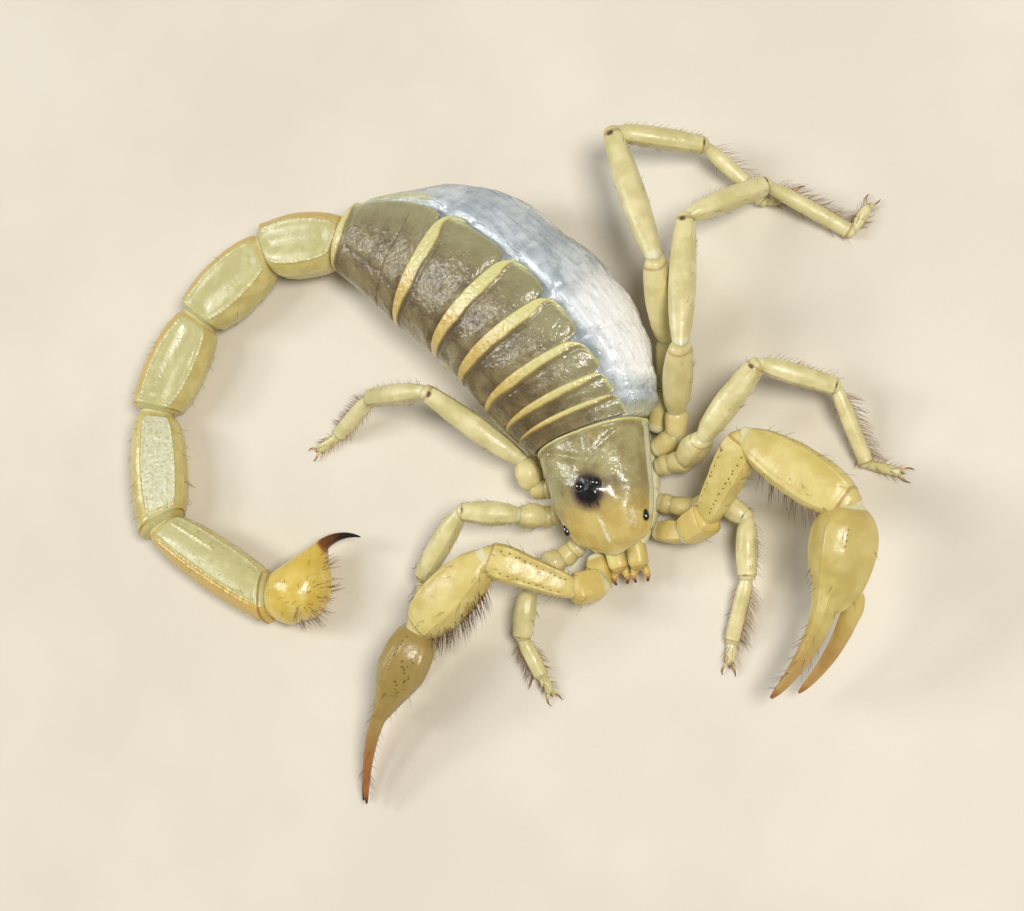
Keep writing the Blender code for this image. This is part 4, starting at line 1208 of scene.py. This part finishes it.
# The hip, then the length, bearing and slope of the seven lengths.
LEGS = {
    "L1": ((17.5, -6.1, 2.3), [(0.9, -14, 0), (2.4, -13, 0), (3.2, 10, 4), (3.2, -34, 2),
                               (5.8, -91, -9), (6.6, -107, -14), (2.2, -98, -8)]),
    "L2": ((17.4, -2.4, 2.8), [(0.9, 14, 6), (1.9, 5, 12), (4.3, 28, 47), (9.4, 48, 12),
                               (8.1, -14, -31), (8.2, -72, -25), (3.4, -16, -6)]),
    "L3": ((17.0, -0.5, 2.8), [(2.1, 29, 5), (2.6, 80, 25), (8.6, 66, 50), (13.6, 90.4, -4),
                               (9.5, 33, -32), (9.7, -30, -19), (3.2, 60, -8)]),
    "L4": ((16.6, 2.0, 2.2), [(3.6, 70, 16), (5.0, 86, 12), (9.4, 84, 46), (15.6, 111, -6),
                              (9.6, -4, -30), (8.4, -44, -24), (3.0, 12, -8)]),
    "R1": ((8.6, -10.4, 2.6), [(0.5, -150, 0), (1.4, -140, 5), (2.0, -150, 25), (3.0, -125, 5),
                               (4.8, -101, -12), (4.3, -66, -20), (1.9, -62, -8)]),
    "R2": ((6.7, -6.9, 2.6), [(0.8, 187, 0), (1.3, 190, 5), (2.8, 187, 60), (6.2, 178, 18),
                              (8.9, -132, -23), (7.2, -88, -18), (3.0, -120, -6)]),
    "R3": ((5.6, -4.2, 2.5), [(0.5, 192, 0), (1.4, 170, 5), (2.8, 108, 26), (12.6, 144, 21),
                              (8.9, 176, -25), (6.8, -150, -31), (3.0, -150, -8)]),
    "R4": ((5.9, -1.8, 1.35), [(0.5, 142, 0), (3.0, 142, 0), (9.0, 132.5, 1), (11.0, 135, 0),
                               (9.6, 135.5, -1), (8.0, 138, -1), (3.0, 185, -3)]),
}
# Half widths in the first pair of legs and in the last.
LEG_WIDTHS_FIRST = np.array([1.15, 1.15, 1.3, 1.25, 1.15, 0.85, 0.55])
LEG_WIDTHS_LAST = np.array([1.25, 1.25, 1.5, 1.4, 1.2, 0.92, 0.6])
LEG_DEPTH, FOOT_HEIGHT, HEEL_HEIGHT = 1.05, 0.3, 0.8
# For each length: share of it, then of its half width and of its half height.
LEG_OUTLINES = [
    [(0, .85, .85), (.5, .95, .95), (1, .85, .85)],
    [(0, .78, .78), (.3, .92, .92), (.85, 1.02, 1.02), (1, .85, .85)],
    [(0, .5, .55), (.08, .68, .78), (.3, .93, 1.0), (.6, 1.02, 1.06), (.85, .9, .98), (1, .7, .78)],
    [(0, .5, .5), (.06, .66, .68), (.25, .93, .98), (.5, 1.04, 1.08), (.8, .9, .95),
     (.94, .76, .8), (1, .64, .68)],
    [(0, .5, .5), (.05, .64, .66), (.22, .88, .92), (.5, .98, 1.02), (.8, .9, .94),
     (.95, .8, .84), (1, .66, .7)],
    [(0, .55, .55), (.06, .72, .72), (.3, .95, .95), (.75, .95, .95), (.94, .9, .9),
     (1, .72, .72)],
    [(0, .6, .6), (.1, .85, .85), (.5, 1.0, 1.0), (.85, .9, .9), (1, .6, .6)],
]
# How far each length bows upwards, and how amber it is.
LEG_BOW = [0, 0, 0.15, 0.25, 0.2, 0.0, 0.0]
LEG_AMBER = [0.6, 0.6, 0.4, 0.1, 0.0, 0.1, 0.1]
# Lengths with keels, and the dark spot at a knee: its strength, place and size.
KEELED, LEG_SPOTS = (2, 3, 4), {3: (0.75, 0.95, 0.03), 4: (0.7, 0.965, 0.025)}


def walk(start, steps):
    """Joints from a start, by lengths, bearings and slopes."""
    points = [np.array(start, float)]
    for length, bearing, slope in steps:
        points.append(points[-1] + length * direction(bearing, slope))
    return points


def leg_points(start, steps):
    """The joints of a leg, shifted evenly so that its heel and foot come down to the floor."""
    points = walk(start, steps)
    heel = len(points) - 2
    fall = HEEL_HEIGHT - points[heel][2]
    for i in range(2, heel + 1):
        points[i][2] += fall * (i - 1) / (heel - 1)
    points[-1][2] = FOOT_HEIGHT
    return points


def leg_relief(part):
    """Keels, furrows and a collar at the far end of one leg length."""
    def relief(place, angle, limb):
        turn = signed(angle)
        body = between(place, 0.06, 0.16, 1.0, 0.9)
        total = 0.06 * hill(place, 0.955, 0.02) * (part < 6)
        if part in KEELED:
            for middle, height in ((52, 0.07), (-52, 0.07), (142, 0.05), (-142, 0.05)):
                total += height * body * hill(signed(turn - middle), 0, 9)
            total -= 0.05 * body * hill(np.abs(turn), 90, 18)
        return total + 0.02 * noise(limb.cloud(place, turn, 1), 0.7, 91 + part)

    return relief


def legs():
    """Each leg in two pieces, parted at the knee, with claws on the last length."""
    built = {}
    for name, (start, steps) in LEGS.items():
        points = leg_points(start, steps)
        share = (int(name[1]) - 1) / 3
        halves = LEG_WIDTHS_FIRST + (LEG_WIDTHS_LAST - LEG_WIDTHS_FIRST) * share
        upper, lower = Shape(), Shape()
        limbs = []
        for i, half in enumerate(halves):
            way = unit(points[i + 1] - points[i])
            limb = Limb(points[i] - way * 0.1, points[i + 1] + way * 0.05, UP, half * 0.94,
                        half * LEG_DEPTH, LEG_OUTLINES[i], power=2.25, bow=LEG_BOW[i] * half * 0.5,
                        relief=leg_relief(i), dome=(0.7, 0.45))
            limbs.append(limb)
            grid, place, angle = limb.rings(max(16, int(limb.length / 0.14)), 64)
            turn = signed(angle)
            strength, where, size = LEG_SPOTS.get(i, (0, 0, 1))
            (upper if i < KNEE else lower).hull(
                on_floor(grid), amber=LEG_AMBER[i], lip=hill(place, 0.965, 0.02) * (i < 6),
                spot=strength * hill(place, where, size) * hill(turn, 0, 32),
                skin=smooth(place, 0.07, 0.03),
                keel=hill(np.abs(turn), 52, 8) * (i in KEELED) * 0.6)
        claw_pair(lower, points[-1], way)
        piece(f"leg_{name}_thigh", upper, "leg", "leg", f"leg_{name}_upper")
        piece(f"leg_{name}_shin", lower, "leg", "leg", f"leg_{name}_lower")
        built[name] = limbs
    return built


def claw_pair(shape, tip, way):
    """Two curved claws and the short spur between them."""
    left = unit(np.cross(UP, way))
    steps = np.linspace(0, 1, 18)
    for sign in (1, -1, 0):
        reach = 1.35 if sign else 0.6
        path = tip - way * 0.15 + way * (steps * reach)[:, None]
        path = path + left * (sign * (0.14 + 0.55 * np.sin(steps * 1.9)))[:, None]
        path = path + UP * (0.10 + 0.28 * np.sin(steps * 2.6) - 0.22 * steps)[:, None]
        radius = 0.17 * (1 - 0.85 * steps)
        path[:, 2] = np.maximum(path[:, 2], radius)
        shape.tube(path, radius, 12, dark=smooth(steps, 0.1, 0.9), amber=0.6 + 0 * steps)


# ---------------------------------------------------------------- pedipalps
# The hip, then the length, bearing and slope of hip, trochanter, femur, patella and palm.
PALPS = {
    "L": ((17.2, -9.0, 2.3), [(3.6, -6, 21), (3.3, 21, 33), (9.7, 52, 28),
                              (12.25, -34, 1), (9.4, -100, -10)]),
    "R": ((10.7, -11.7, 2.4), [(2.8, -73, 16), (2.8, -159, 35), (9.4, 161, 25),
                               (10.4, -139.5, -12), (9.9, -121.5, -13.5)]),
}
# Half width and half height of each of those.
PALP_SIZES = [(1.15, 1.15), (1.55, 1.55), (1.7, 1.6), (2.5, 2.3), (3.15, 2.6)]
# Where each finger starts, past the knuckle and out from it; and its bearings, slope and length.
FIXED_ROOT, MOVABLE_ROOT = (0.8, 1.1), (-0.2, 1.95)
CLAW_ROLL = {"L": 45, "R": 115}
FIXED_FINGER = {"L": (-112, -141, -17, 10.4), "R": (-118, -93, -21, 9.2)}
MOVABLE_FINGER = {"L": (-114, -143, -20, 10.6), "R": (-117, -94, -11, 9.9)}
PALP_OUTLINES = {
    "coxa": [(0, .8, .8), (.5, 1, 1), (1, .85, .85)],
    "trochanter": [(0, .78, .78), (.15, .96, .96), (.5, 1.02, 1.02), (.9, 1.04, 1.0),
                   (1, .85, .85)],
    "femur": [(0, .5, .56), (.06, .64, .7), (.2, .8, .84), (.5, .96, .94), (.8, 1.1, 1.02),
              (.93, 1.02, .98), (1, .74, .76)],
    "patella": [(0, .42, .5), (.06, .56, .64), (.2, .8, .86), (.45, 1.0, 1.0), (.65, 1.03, 1.02),
                (.88, .86, .88), (1, .56, .64)],
}
# The palm: place along it, half width, half height, and shift towards the fixed finger.
PALM = [
    (0.0, 1.25, 1.2, 0), (.05, 1.85, 1.65, 0), (.12, 2.45, 2.1, 0), (.3, 3.1, 2.5, 0),
    (.46, 3.15, 2.55, 0), (.62, 3.0, 2.2, 0), (.77, 2.7, 1.7, .1), (.92, 2.15, 1.22, .45),
    (1.0, 1.75, 1.0, .8),
]
# A finger: share of its length and of its thickness; and the half thickness of each claw's fingers.
TAPER = [(0, 1.0), (.12, .92), (.3, .82), (.5, .70), (.75, .5), (.92, .32), (1.0, .15)]
FINGER_HALF = {"L": 0.9, "R": 0.72}
# The root of the movable finger: behind its start, inside it, half width and half height.
THUMB_BASE = [(1.3, 0.35, 0.95, 0.85), (0.5, 0.1, 1.1, 0.92)]
# How brown the fingers are, how much painted shade darkens the palm, and how amber the movable
# finger is.
BROWN = {"L": 0.32, "R": 0.55}
PALM_SHADE = {"L": 0.35, "R": 0.8}
THUMB_AMBER = {"L": 0.25, "R": 0.6}


def palp_relief(keels, seed):
    """Keels of (angle, height, bead count or 0) with small grains."""
    def relief(place, angle, limb):
        turn = signed(angle)
        body = between(place, 0.06, 0.18, 1.0, 0.9)
        total = 0.08 * hill(place, 0.955, 0.018)
        for middle, height, count in keels:
            ridge = hill(signed(turn - middle), 0, 7) * body
            if count:
                ridge = ridge * (0.4 + 0.6 * beads(place, count, seed + int(middle)))
            total += height * ridge
        cloud = limb.cloud(place, turn, 2)
        return total + 0.04 * noise(cloud, 1.4, seed) + 0.02 * noise(cloud, 0.5, seed + 1)

    return relief


def palp_part(shape, limb, amber, sides=110, dark=None, spots=(), shade=0.0):
    """One length of a claw arm, with a value for each of the marks that its paint shows."""
    grid, place, angle = limb.rings(max(20, int(limb.length / 0.12)), sides)
    spot = 0
    for where, middle, size in spots:
        across = signed(signed(angle) - middle) / 57.3 * limb.half_width
        spot = np.maximum(spot, hill(np.hypot((place - where) * limb.length, across), 0, size))
    return shape.hull(
        on_floor(grid), amber=amber, shade=shade, spot=spot, dark=dark(place) if dark else 0,
        lip=0 if dark else hill(place, 0.968, 0.018), skin=smooth(place * limb.length, 0.45, 0.2))


def socket_row(first, last, count, seed, scatter=4.0):
    """Small dark sockets in an uneven row from one (place, angle) to another."""
    rows = []
    for i in range(count):
        cell = np.array([i, seed, 7])
        share = (i + 0.6 * hashed(cell, seed)) / count
        angle = first[1] + (last[1] - first[1]) * share + scatter * (hashed(cell, seed + 1) - 0.5)
        rows.append((first[0] + (last[0] - first[0]) * share, angle, 0.13))
    return rows


# Rows of bristle sockets on each length of the arms, as socket_row takes them.
FEMUR_SOCKETS = [((.12, -14), (.9, -24), 12, 11), ((.15, 30), (.85, 26), 9, 12)]
SOCKETS = {
    "L": {"femur": FEMUR_SOCKETS, "patella": [((.2, 60), (.9, 66), 9, 5)],
          "palm": [((.10, -12), (.20, -16), 4, 8)]},
    "R": {"femur": FEMUR_SOCKETS, "patella": [((.15, -48), (.9, -60), 12, 6)],
          "palm": [((.04, -112), (.34, -120), 14, 9), ((.10, -84), (.38, -80), 22, 10, 24)]},
}


def sockets(side, part):
    """All the sockets of one length of an arm."""
    return [socket for row in SOCKETS[side][part] for socket in socket_row(*row)]


def pedipalps():
    """The two claw arms: a hip of two lengths, the femur, the patella and the claw."""
    built = {}
    for side, (start, steps) in PALPS.items():
        points = walk(start, steps)
        ways = [unit(b - a) for a, b in zip(points, points[1:])]
        limbs = {}
        shape = Shape()
        low_keels = [(40, .08, 0), (-40, .08, 0)]
        for i, part in ((0, "coxa"), (1, "trochanter")):
            limb = Limb(points[i], points[i + 1] + ways[i] * 0.1, UP, *PALP_SIZES[i],
                        PALP_OUTLINES[part], power=3.2, relief=palp_relief(low_keels, 101 + i),
                        dome=(.6, .4))
            palp_part(shape, limb, 0.5, 72)
            limbs[part] = limb
        piece(f"palp_{side}_hip", shape, "palp", "palp", f"palp_{side}_base")
        keels = [(44, .12, 0), (-44, .12, 0), (120, .10, 12), (-120, .10, 12)]
        for i, part, amber in ((2, "femur", 0.25), (3, "patella", 0.1)):
            limb = Limb(points[i] - ways[i] * 0.15, points[i + 1] + ways[i] * 0.1, UP,
                        *PALP_SIZES[i], PALP_OUTLINES[part], power=3.1, bow=0.25,
                        relief=palp_relief(keels, 105 + i), dome=(.75, .5))
            shape = palp_part(Shape(), limb, amber, spots=sockets(side, part))
            piece(f"palp_{side}_{part}_shell", shape, "palp", "palp", f"palp_{side}_{part}")
            limbs[part] = limb
        limbs.update(chela(side, points[4], points[5]))
        built[side] = limbs
    return built


def arc_path(root, arc, count):
    """Points along an arc of two end bearings, a slope and a length."""
    first, last, slope, length = arc
    share = np.linspace(0, 1, count)
    ways = direction(first + (last - first) * share, slope)
    hops = (ways[1:] + ways[:-1]) / 2 * length / (count - 1)
    return root + np.vstack([np.zeros(3), np.cumsum(hops, axis=0)])


def finger_relief(first, inner, seed, keels=()):
    """Small teeth along the inner edge of a finger that starts at a share of the limb."""
    def relief(place, angle, limb):
        turn = signed(angle)
        share = np.clip((place - first) / (1 - first), 0, 1)
        gate = between(share, 0.08, 0.16, 0.98, 0.9)
        teeth = hill(signed(turn - inner), 0, 12) * (0.35 + 0.65 * beads(share, 30, seed))
        total = gate * (0.08 * teeth - 0.03 * hill(signed(turn + inner), 0, 20))
        body = smooth(place, 0.03, 0.1) * smooth(share, 0.3, 0.05)
        for middle, height in keels:
            total += height * body * hill(signed(turn - middle), 0, 6)
        cloud = limb.cloud(place, turn, 2)
        rough = 0.05 * noise(cloud, 1.8, seed) + 0.012 * noise(cloud, 0.5, seed + 1)
        return total + rough * smooth(share, 0.8, 0.1)

    return relief


def chela(side, wrist, knuckle):
    """The palm running out into its fixed finger as one piece, and the movable finger."""
    way = unit(knuckle - wrist)
    left = unit(np.cross(UP, way))
    roll = np.radians(CLAW_ROLL[side])
    apart = left * np.cos(roll) - UP * np.sin(roll)
    up = unit(np.cross(way, apart))
    reach = np.linalg.norm(knuckle - wrist)
    half, brown = FINGER_HALF[side], BROWN[side]

    def finger(root, arc, wide, high):
        path = arc_path(root, arc, 101)
        return [(*path[int(100 * share)], half * thick * wide, half * thick * high)
                for share, thick in TAPER]

    knots = [(*(wrist + way * place * reach - apart * shift), width, height)
             for place, width, height, shift in PALM]
    root = knuckle + way * FIXED_ROOT[0] - apart * FIXED_ROOT[1]
    knots += finger(root, FIXED_FINGER[side], 1.3, 1)
    first = reach / (reach + FIXED_ROOT[0] + FIXED_FINGER[side][3])
    keels = [(40, .14), (-15, .09), (-60, .12), (-115, .12), (120, .10)]
    palm = Sweep(knots, up, 2.7, finger_relief(first, 90, 131, keels))
    # The palm is darkened by painted shade, most on the right claw.
    shape = palp_part(
        Shape(), palm, 0.15, 120, spots=sockets(side, "palm"), shade=PALM_SHADE[side],
        dark=lambda place: brown * smooth(place, 0.42, 0.85) + 0.35 * smooth(place, 0.93, 1.0))
    piece(f"palp_{side}_claw", shape, "palp", "palp", f"palp_{side}_chela")
    root = knuckle + way * MOVABLE_ROOT[0] + apart * MOVABLE_ROOT[1]
    knots = [(*(root - way * back - apart * inside), width, height)
             for back, inside, width, height in THUMB_BASE]
    knots += finger(root, MOVABLE_FINGER[side], 1.15, 0.95)
    thumb = Sweep(knots, up, 2.2, finger_relief(0.12, -90, 137))
    # The movable finger gets a little painted shade.
    shape = palp_part(
        Shape(), thumb, THUMB_AMBER[side], 72, shade=0.3,
        dark=lambda place: brown * smooth(place, 0.05, 0.6) + 0.3 * smooth(place, 0.88, 1.0))
    piece(f"palp_{side}_thumb", shape, "finger", "finger", f"palp_{side}_finger")
    return {"palm": palm, "movable": thumb}


# ---------------------------------------------------------------- bristles
class Bristles:
    """Many tapered hairs gathered into one mesh, each with a small patch of the unwrap."""

    def __init__(self, seed):
        self.random = np.random.default_rng(seed)
        self.rows = []

    def add(self, root, way, bend, length, width, patch):
        """Hairs at points, towards directions; patch is each root's place on the unwrap."""
        width = np.full(len(root), width)
        self.rows.append(np.column_stack([root, unit(way), bend, length, width, patch]))

    def fuzz(self, limb, places, angles, lengths, lean, width, cell):
        """Hairs on a limb at places and angles, leaning towards its far end."""
        root = limb.at(places, angles)
        normal = limb.normal(places, angles)
        along = unit(limb.at(np.minimum(places + 0.01, 1), angles) - limb.at(places - 0.01, angles))
        way = unit(normal * (1 - lean) + along * lean)
        way = way + 0.12 * self.random.normal(size=way.shape)
        across = (signed(angles) + 180) / 360
        patch = np.stack([cell[0] + cell[2] * places, cell[1] + cell[2] * across], -1)
        self.add(root, unit(way), along * 0.15 - UP * 0.1, lengths, width, patch)

    def scatter(self, limb, count, places, angles, lengths, lean, width, cell):
        """Hairs at random; angles makes that many, and the other two are ranges."""
        place = self.random.uniform(*places, count)
        angle = angles(count)
        self.fuzz(limb, place, angle, self.random.uniform(*lengths, count), lean, width, cell)

    def build(self, name, paint, slot):
        rows, sides = 5, 3
        root, way, bend, size, patch = np.split(np.vstack(self.rows), [3, 6, 9, 11], axis=1)
        root, way, bend = root[:, None], way[:, None], bend[:, None]
        length, width = size.T[..., None, None]
        count = len(root)
        across = unit(np.cross(way, np.where(np.abs(way[..., 2:]) > 0.9, [1.0, 0, 0], [0, 0, 1.0])))
        share = np.linspace(0, 1, rows)[:, None]
        centre = root - way * 0.06 + (way * share + bend * share**2) * length
        centre[..., 2] = np.maximum(centre[..., 2], 0.03)
        turn = (np.arange(sides) * 2 * np.pi / sides)[:, None]
        other = np.cross(way, across)[..., None, :]
        ring = np.cos(turn) * across[..., None, :] + np.sin(turn) * other
        thick = (width * (1 - 0.85 * share**1.4) / 2)[..., None]
        points = on_floor(centre[:, :, None] + ring * thick, 0.005)
        index = np.arange(count * rows * sides).reshape(count, rows, sides)
        after = np.roll(index, -1, axis=2)
        quads = np.stack([index[:, :-1], after[:, :-1], after[:, 1:], index[:, 1:]], -1)
        quads = quads.reshape(-1, 4)
        ends = np.vstack([index[:, 0, ::-1], index[:, -1]])
        tip = np.broadcast_to(share, (count, rows, sides))
        obj = piece(name, Shape().add(points, quads, ends, tip=tip), paint, slot)
        corner = np.empty(len(obj.data.loops), np.int32)
        obj.data.loops.foreach_get("vertex_index", corner)
        hair, rest = np.divmod(corner, rows * sides)
        row, column = np.divmod(rest, sides)
        spread = np.stack([column / (sides - 1), row / (rows - 1)], -1) - 0.5
        layer = obj.data.uv_layers.new(name="OFBake")
        layer.data.foreach_set("uv", (patch[hair] + 0.003 * spread).astype(np.float32).ravel())


# ---------------------------------------------------------------- light, floor and camera
def leg_bristles(legs_built):
    """A comb along the outer edge of the shin, a few on the other edge, a star at the foot."""
    bristles = Bristles(5)
    draw = bristles.random
    for number, (name, limbs) in enumerate(legs_built.items()):
        cell = (0.02 + 0.12 * number, 0.05, 0.1)
        outside = 1 if name[0] == "L" or name == "R4" else -1
        dense = 56 if name[1] in "123" else 26
        for part, count, length in ((5, dense, 1.45), (4, 16, 0.9)):
            at = np.linspace(0.12, 0.98, count) + draw.normal(0, 0.006, count)
            angle = outside * draw.normal(92, 7, count)
            lengths = length * draw.uniform(0.75, 1.15, count)
            bristles.fuzz(limbs[part], at, angle, lengths, 0.42, 0.06, cell)
        bristles.scatter(limbs[5], dense // 3, (0.12, 0.98), lambda n:
                         -outside * draw.normal(100, 18, n), (0.7, 1.1), 0.5, 0.055, cell)
        bristles.scatter(limbs[6], 30, (0.2, 1.0), lambda n: draw.uniform(-130, 130, n),
                         (0.6, 1.1), 0.45, 0.055, cell)
        for part, count in ((2, 10), (3, 18), (4, 16)):
            bristles.scatter(limbs[part], count, (0.15, 0.95), lambda n:
                             draw.choice([60, -60, 110, -110], n) + draw.normal(0, 10, n),
                             (0.4, 0.8), 0.6, 0.05, cell)
    bristles.build("leg_bristles", "bristle_red", "leg")


def palp_bristles(palps_built):
    """Sparse hairs all over the claw arms, and a brush on the inner edge of the right patella."""
    bristles = Bristles(6)
    draw = bristles.random
    for number, (side, limbs) in enumerate(palps_built.items()):
        cell = (0.05 + 0.4 * number, 0.3, 0.15)
        for part, count in (("trochanter", 10), ("femur", 30), ("patella", 30), ("palm", 30)):
            bristles.scatter(limbs[part], count, (0.12, 0.95), lambda n: draw.uniform(-180, 180, n),
                             (0.6, 1.3), 0.5, 0.055, cell)
        inner, count = (-1, 50) if side == "L" else (1, 150)
        bristles.scatter(limbs["patella"], count, (0.25, 0.97), lambda n:
                         inner * draw.normal(100, 12, n), (1.2, 2.3), 0.35, 0.06, cell)
        bristles.scatter(limbs["palm"], count // 3, (0.3, 0.97), lambda n:
                         inner * draw.normal(100, 25, n), (0.7, 1.3), 0.45, 0.055, cell)
    bristles.build("palp_bristles", "bristle_dark", "palp")


def tail_bristles(tail_built, telson_at):
    """Fine bristles along the inner edges of the last lengths, and on the bulb's belly."""
    bristles = Bristles(7)
    draw = bristles.random
    for number, (limb, count) in enumerate(zip(tail_built, (8, 10, 14, 40, 50)), 1):
        bristles.scatter(limb, count, (0.1, 0.96), lambda n:
                         draw.choice([-128, -105, 128, 100, 60, -60], n) + draw.normal(0, 7, n),
                         (0.5, 1.0), 0.35, 0.05, (0.05 + 0.15 * number, 0.5, 0.12))
    count, step = 90, 0.01
    place = draw.uniform(0.15, 0.92, count)
    turn = np.pi + draw.normal(0, 0.75, count)
    along = telson_at(place + step, turn) - telson_at(place - step, turn)
    around = telson_at(place, turn + step) - telson_at(place, turn - step)
    way = unit(np.cross(along, around))
    way = unit(way + 0.25 * unit(along) + 0.15 * draw.normal(size=way.shape))
    patch = np.stack([0.7 + 0.2 * place, 0.7 + 0.03 * turn], -1)
    length = draw.uniform(0.9, 1.9, count)
    bristles.add(telson_at(place, turn), way, 0 * way, length, 0.06, patch)
    bristles.build("tail_bristles", "bristle_dark", "tail")


def floor():
    """A wide pale floor, just under the feet."""
    side, drop = 900, -0.02
    corners = [(-side, -side, drop), (-side, side, drop), (side, side, drop), (side, -side, drop)]
    obj = link("floor", Shape().add(corners, [(0, 1, 2, 3)]).mesh("floor"))
    obj.data.materials.append(MATERIALS["floor"])


def settle(obj, right, above, back, position):
    """Turns a lamp or a camera away from back, and moves it to a position in metres."""
    place = Matrix(np.column_stack([right, above, back]).tolist()).to_4x4()
    place.translation = position.tolist()
    obj.matrix_world = place


def lamp(name, azimuth, elevation, distance, size, power, colour=(1, 1, 1)):
    """A soft round lamp aimed at the animal."""
    data = bpy.data.lights.new(name, "AREA")
    data.shape = "DISK"
    data.size = size
    data.energy = power
    data.color = colour
    back = direction(azimuth, elevation)
    across = unit(np.cross(UP, back))
    settle(link(name, data), across, np.cross(back, across), back, back * distance)


CAMERA_TILT, CAMERA_DISTANCE, CAMERA_SIDE = 25, 260, (0.87, -0.49)
SENSOR_WIDTH, FOCAL_PIXELS = 36, 2496


def camera():
    """Looks down at the animal from the side of its head."""
    tilt = np.radians(CAMERA_TILT)
    side = unit(np.array([*CAMERA_SIDE, 0.0]))
    back = side * np.sin(tilt) + UP * np.cos(tilt)
    along = side * np.cos(tilt) - UP * np.sin(tilt)
    cross = np.array([-side[1], side[0], 0.0])
    right = side[0] * along - side[1] * cross
    above = side[1] * along + side[0] * cross
    data = bpy.data.cameras.new("camera")
    data.sensor_width = SENSOR_WIDTH
    data.lens = SENSOR_WIDTH * FOCAL_PIXELS / IMAGE_WIDTH
    data.clip_start = 0.01
    obj = link("camera", data)
    settle(obj, right, above, back, (back * CAMERA_DISTANCE + CENTRING) * MM)
    bpy.context.scene.camera = obj


def light():
    """Three lamps in a dim even sky."""
    world = bpy.data.worlds.new("studio")
    bpy.context.scene.world = world
    world.use_nodes = True
    sky = world.node_tree.nodes["Background"].inputs
    sky["Color"].default_value = (1.0, 0.99, 0.97, 1)
    sky["Strength"].default_value = 0.2
    lamp("key", -12, 58, 0.7, 0.2, 3.8, (1.0, 0.97, 0.92))
    lamp("fill", 176, 54, 0.7, 0.3, 1.4, (0.96, 0.98, 1.0))
    lamp("glint", 170, 35, 0.7, 0.16, 1.2)
    bpy.context.scene.view_settings.view_transform = "Standard"


membrane_paint()
tergite_paint()
sternite_paint()
carapace_paint()
eye_paint()
tail_paint()
telson_paint()
limb_paint("leg", (202, 192, 136), (222, 212, 162), (206, 184, 112))
limb_paint("palp", (202, 182, 106), (216, 200, 128), (204, 172, 88))
limb_paint("finger", (202, 178, 100), (216, 196, 120), (192, 146, 66))
bristle_paint("bristle_dark", (122, 82, 44), (70, 42, 26))
bristle_paint("bristle_red", (160, 108, 68), (104, 60, 38))
floor_paint()
camera()
light()
floor()
membrane()
for number in range(1, 8):
    tergite(number)
for number in range(3, 8):
    sternite(number)
carapace()
eyes()
coxosternum()
chelicerae()
pectines()
tail_built = tail()
telson_at = telson()
legs_built = legs()
palps_built = pedipalps()
leg_bristles(legs_built)
palp_bristles(palps_built)
tail_bristles(tail_built, telson_at)
